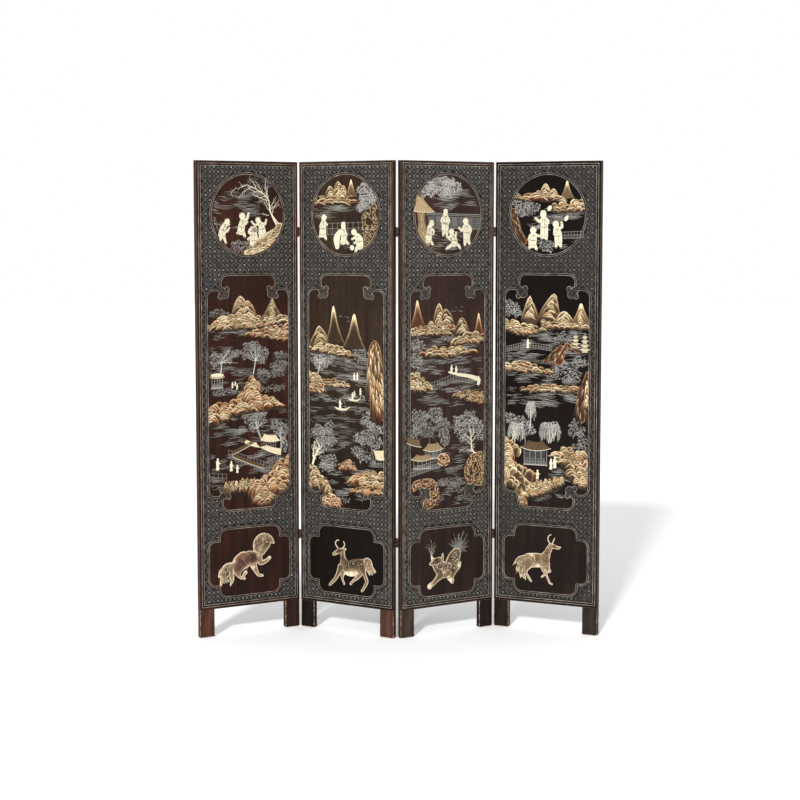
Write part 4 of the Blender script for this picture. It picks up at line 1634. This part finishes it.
def low_2(p):
    """Horned deer walking to the left, its tail up."""
    beast(p, [[(330, 268, 9), (344, 258, 5), (353, 252, 2)],
              [(322, 264, 9), (332, 248, 4), (337, 239, 2)],
              [(314, 264, 9), (322, 246, 4), (325, 237, 2)],
              [(304, 284, 13), (316, 286, 17), (328, 274, 12)]],
          [(314, 286, 12, 0.5)], inside=0.5, fade=4.0)
    curls(p, p.hide, [(310, 286, 12), (324, 280, 12)], 5.5, 2.8, (0.0, 1.1), 1.1)
    fur(p, p.hide, [(330, 262, 8), (342, 252, 5)], 300, 12, 4.6, (0.1, 1.1), 0.9, 2.0)
    beast(p, [[(200, 236, 12), (197, 212, 5), (206, 190, 4)],
              [(276, 236, 14), (262, 216, 7), (248, 206, 5), (236, 193, 5)],
              [(206, 262, 20), (232, 254, 31), (262, 262, 32), (288, 272, 24)],
              [(290, 262, 18), (302, 234, 8), (312, 210, 7), (302, 188, 6), (290, 171, 5)],
              [(192, 254, 16), (180, 232, 10), (164, 206, 7), (150, 192, 6), (138, 180, 5)],
              [(206, 272, 18), (201, 296, 11), (199, 314, 10)],
              [(206, 326, 6), (214, 328, 3)],
              [(200, 322, 10), (184, 318, 10), (166, 309, 8), (156, 303, 6)]],
          [(236, 276, 17, 0.04), (262, 282, 18, 0.06), (284, 280, 13, 0.16), (218, 268, 12, 0.08),
           (216, 230, 13, 1.0), (240, 232, 18, 1.0), (262, 238, 14, 0.9), (200, 292, 7, 0.15),
           (182, 318, 7, 0.12), (166, 308, 5, 0.75)], inside=0.3, fade=4.0)
    fur(p, p.hide, [(210, 274, 12), (240, 272, 20), (266, 276, 20), (288, 280, 14)], 235, 8, 5.2,
        (0.0, 0.9), 1.12, 1.6)
    fur(p, p.hide, [(204, 262, 10), (200, 296, 8)], 262, 8, 5.5, (0.0, 0.9), 1.1, 1.5)
    horns(p, [(178, 328), (168, 340), (166, 350), (174, 360), (183, 360)],
          [(198, 328), (207, 340), (208, 350), (203, 358)])
    p.disc(178, 320, 2.2, 1.3, 0.02)


def low_3(p):
    """Antlered beast that rolls on the ground."""
    for points in ([(142, 308), (134, 326), (118, 350)], [(142, 308), (138, 330), (128, 358)],
                   [(143, 308), (144, 334), (142, 370)], [(144, 308), (152, 328), (156, 360)]):
        p.bare(points, 2.2, 1, 0.34, twigs=6)
    for reach, tilt in ((42, 150), (46, 128), (54, 106), (60, 84), (66, 66), (64, 48), (58, 28), (44, 8),
                        (34, -16)):
        c, s = math.cos(math.radians(tilt)), math.sin(math.radians(tilt))
        plume = [(266 + reach * k * c, 324 + reach * k * s, 7.0 * (1 - k) + 2.0) for k in (0, 0.35, 0.7, 1)]
        fur(p, p.pearl, plume, tilt, 15, 3.6, (0.12, 0.42), 0.1, 1.5)
    beast(p, [[(256, 246, 14), (270, 256, 10), (280, 270, 3)],
              [(244, 244, 20), (238, 220, 12), (236, 208, 11)],
              [(224, 212, 7), (238, 203, 10), (240, 196, 7)],
              [(228, 258, 26), (246, 286, 30), (258, 306, 23)],
              [(166, 276, 22), (186, 256, 29), (206, 246, 31), (222, 252, 24)],
              [(188, 232, 18), (166, 212, 11), (150, 198, 9)],
              [(144, 198, 8), (134, 189, 11)],
              [(148, 294, 7), (143, 305, 4), (141, 312, 2)], [(193, 290, 7), (195, 302, 5), (195, 310, 4)],
              [(178, 286, 15), (162, 284, 15), (148, 280, 10), (138, 277, 6)]],
          [(232, 204, 12, 1.0), (134, 190, 12, 0.98), (272, 258, 10, 0.98), (206, 236, 11, 0.8),
           (248, 290, 18, 0.1), (178, 252, 12, 0.12), (166, 290, 8, 0.12), (240, 250, 12, 0.06),
           (144, 298, 8, 0.98)], inside=0.3)
    fur(p, p.hide, [(228, 252, 18), (246, 286, 22), (256, 306, 15)], 335, 12, 5.0, (0.0, 1.1), 1.12, 1.8)
    fur(p, p.hide, [(176, 262, 18), (206, 246, 22)], 40, 12, 5.0, (0.0, 1.1), 1.12, 1.8)
    p.disc(158, 286, 2.4, 1.35, 0.02)


def low_4(p):
    """Horned deer walking to the right, its tail down."""
    tail = [[(130, 284, 10), (108, 274, 11), (88, 259, 3)], [(122, 270, 13), (104, 246, 8), (98, 225, 2)],
            [(126, 262, 13), (114, 230, 8), (115, 206, 3)], [(134, 254, 10), (124, 222, 8), (135, 198, 3)]]
    beast(p, tail, inside=0.36)
    for lock in tail:
        fur(p, p.hide, lock, 252, 13, 4.6, (0.0, 1.1), 0.98, 2.0)
    beast(p, [[(206, 262, 13), (210, 240, 7), (217, 226, 4), (204, 213, 4)],
              [(220, 268, 17), (226, 248, 11), (235, 238, 7)],
              [(234, 240, 6), (222, 227, 4.5), (230, 206, 4), (236, 192, 3.5), (246, 187, 3.5)],
              [(152, 274, 29), (180, 277, 28), (208, 276, 27)],
              [(148, 264, 22), (138, 240, 10), (136, 224, 6), (148, 206, 4.5), (158, 192, 4)],
              [(214, 286, 22), (224, 306, 15), (234, 326, 12), (240, 338, 10)],
              [(228, 326, 5), (232, 334, 3)],
              [(241, 337, 10), (256, 336, 8), (270, 332, 6), (278, 335, 4)]],
          [(226, 312, 10, 0.3), (186, 253, 14, 0.9), (180, 284, 12, 0.36), (160, 298, 14, 0.85),
           (222, 280, 12, 0.34), (234, 238, 7, 0.8), (256, 338, 5, 0.15)], inside=0.46, fade=3.6)
    fur(p, p.hide, [(156, 280, 20), (184, 282, 18), (210, 282, 18)], 250, 7, 9.0, (0.3, 0.8), 1.1, 1.2)
    fur(p, p.hide, [(218, 292, 14), (232, 322, 8)], 250, 9, 8.0, (0.3, 0.9), 1.1, 1.2)
    horns(p, [(238, 346), (229, 360), (231, 376), (242, 383)], [(246, 346), (252, 360), (256, 370)])
    crease(p, [(203, 268), (206, 250), (214, 238)], 1.8, 0.95, 1.05)
    crease(p, [(170, 296), (174, 280), (172, 266), (160, 250), (148, 240)], 2.2, 0.95, 1.05)
    p.disc(252, 339, 2.0, 1.3, 0.02)


def pictures():
    """All twelve pictures, three on each leaf."""
    for leaf, roundel, tall, low in ((1, roundel_1, tall_1, low_1), (2, roundel_2, tall_2, low_2),
                                     (3, roundel_3, tall_3, low_3), (4, roundel_4, tall_4, low_4)):
        for name, gap, draw in (("roundel", roundel_gap, roundel), ("tall", tall_gap, tall),
                                ("low", low_gap, low)):
            picture = Picture(leaf, name, gap, 10 * leaf + len(name))
            draw(picture)
            picture.finish()


# ---- studio ---------------------------------------------------------------------------------
# The photograph's camera, fitted to the screen's corners
CAMERA_AT = (0.004, -7.175, 1.589)
CAMERA_TILT = 84.604
LENS, SENSOR = 83.67, 36.0
# The key light: its strength, softness, and degrees to the left and up
KEY_POWER, KEY_SPREAD, KEY_SIDE, KEY_UP = 3.6, 6, 14, 27


def studio():
    scene = bpy.context.scene
    camera = bpy.data.objects.new("camera", bpy.data.cameras.new("camera"))
    camera.location = CAMERA_AT
    camera.rotation_euler = (math.radians(CAMERA_TILT), 0, 0)
    camera.data.lens, camera.data.sensor_width = LENS, SENSOR
    scene.collection.objects.link(camera)
    scene.camera = camera
    scene.view_settings.view_transform = "Standard"

    bpy.ops.mesh.primitive_plane_add(size=60, location=(0, 0, -0.0005))
    floor = bpy.context.object
    floor.name = "floor"
    look = Look("floor", Specular_IOR_Level=0.1, Roughness=0.9)
    white, whitest = linear(252, 252, 252), linear(255, 255, 255)
    look.colour(look.ramp(look.noise(look.point(), 0.6), (0.3, white), (0.7, whitest)))
    floor.data.materials.append(look.material)

    key_light()
    world = bpy.data.worlds.new("studio")
    scene.world = world
    world.use_nodes = True
    world.node_tree.nodes["Background"].inputs["Color"].default_value = (1, 1, 1, 1)
    world.node_tree.nodes["Background"].inputs["Strength"].default_value = 1.0


def key_light():
    """One broad soft light, in front of the screen and a little to the left."""
    light = bpy.data.lights.new("key", "SUN")
    light.energy, light.angle = KEY_POWER, math.radians(KEY_SPREAD)
    key = bpy.data.objects.new("key", light)
    side, up = math.radians(KEY_SIDE), math.radians(KEY_UP)
    towards = Vector((-math.sin(side) * math.cos(up), -math.cos(side) * math.cos(up), math.sin(up)))
    key.rotation_euler = (-towards).to_track_quat("-Z", "Y").to_euler()
    bpy.context.scene.collection.objects.link(key)


finish_cad_nodes()
for leaf in LEAVES:
    ground(leaf)
pictures()
studio()
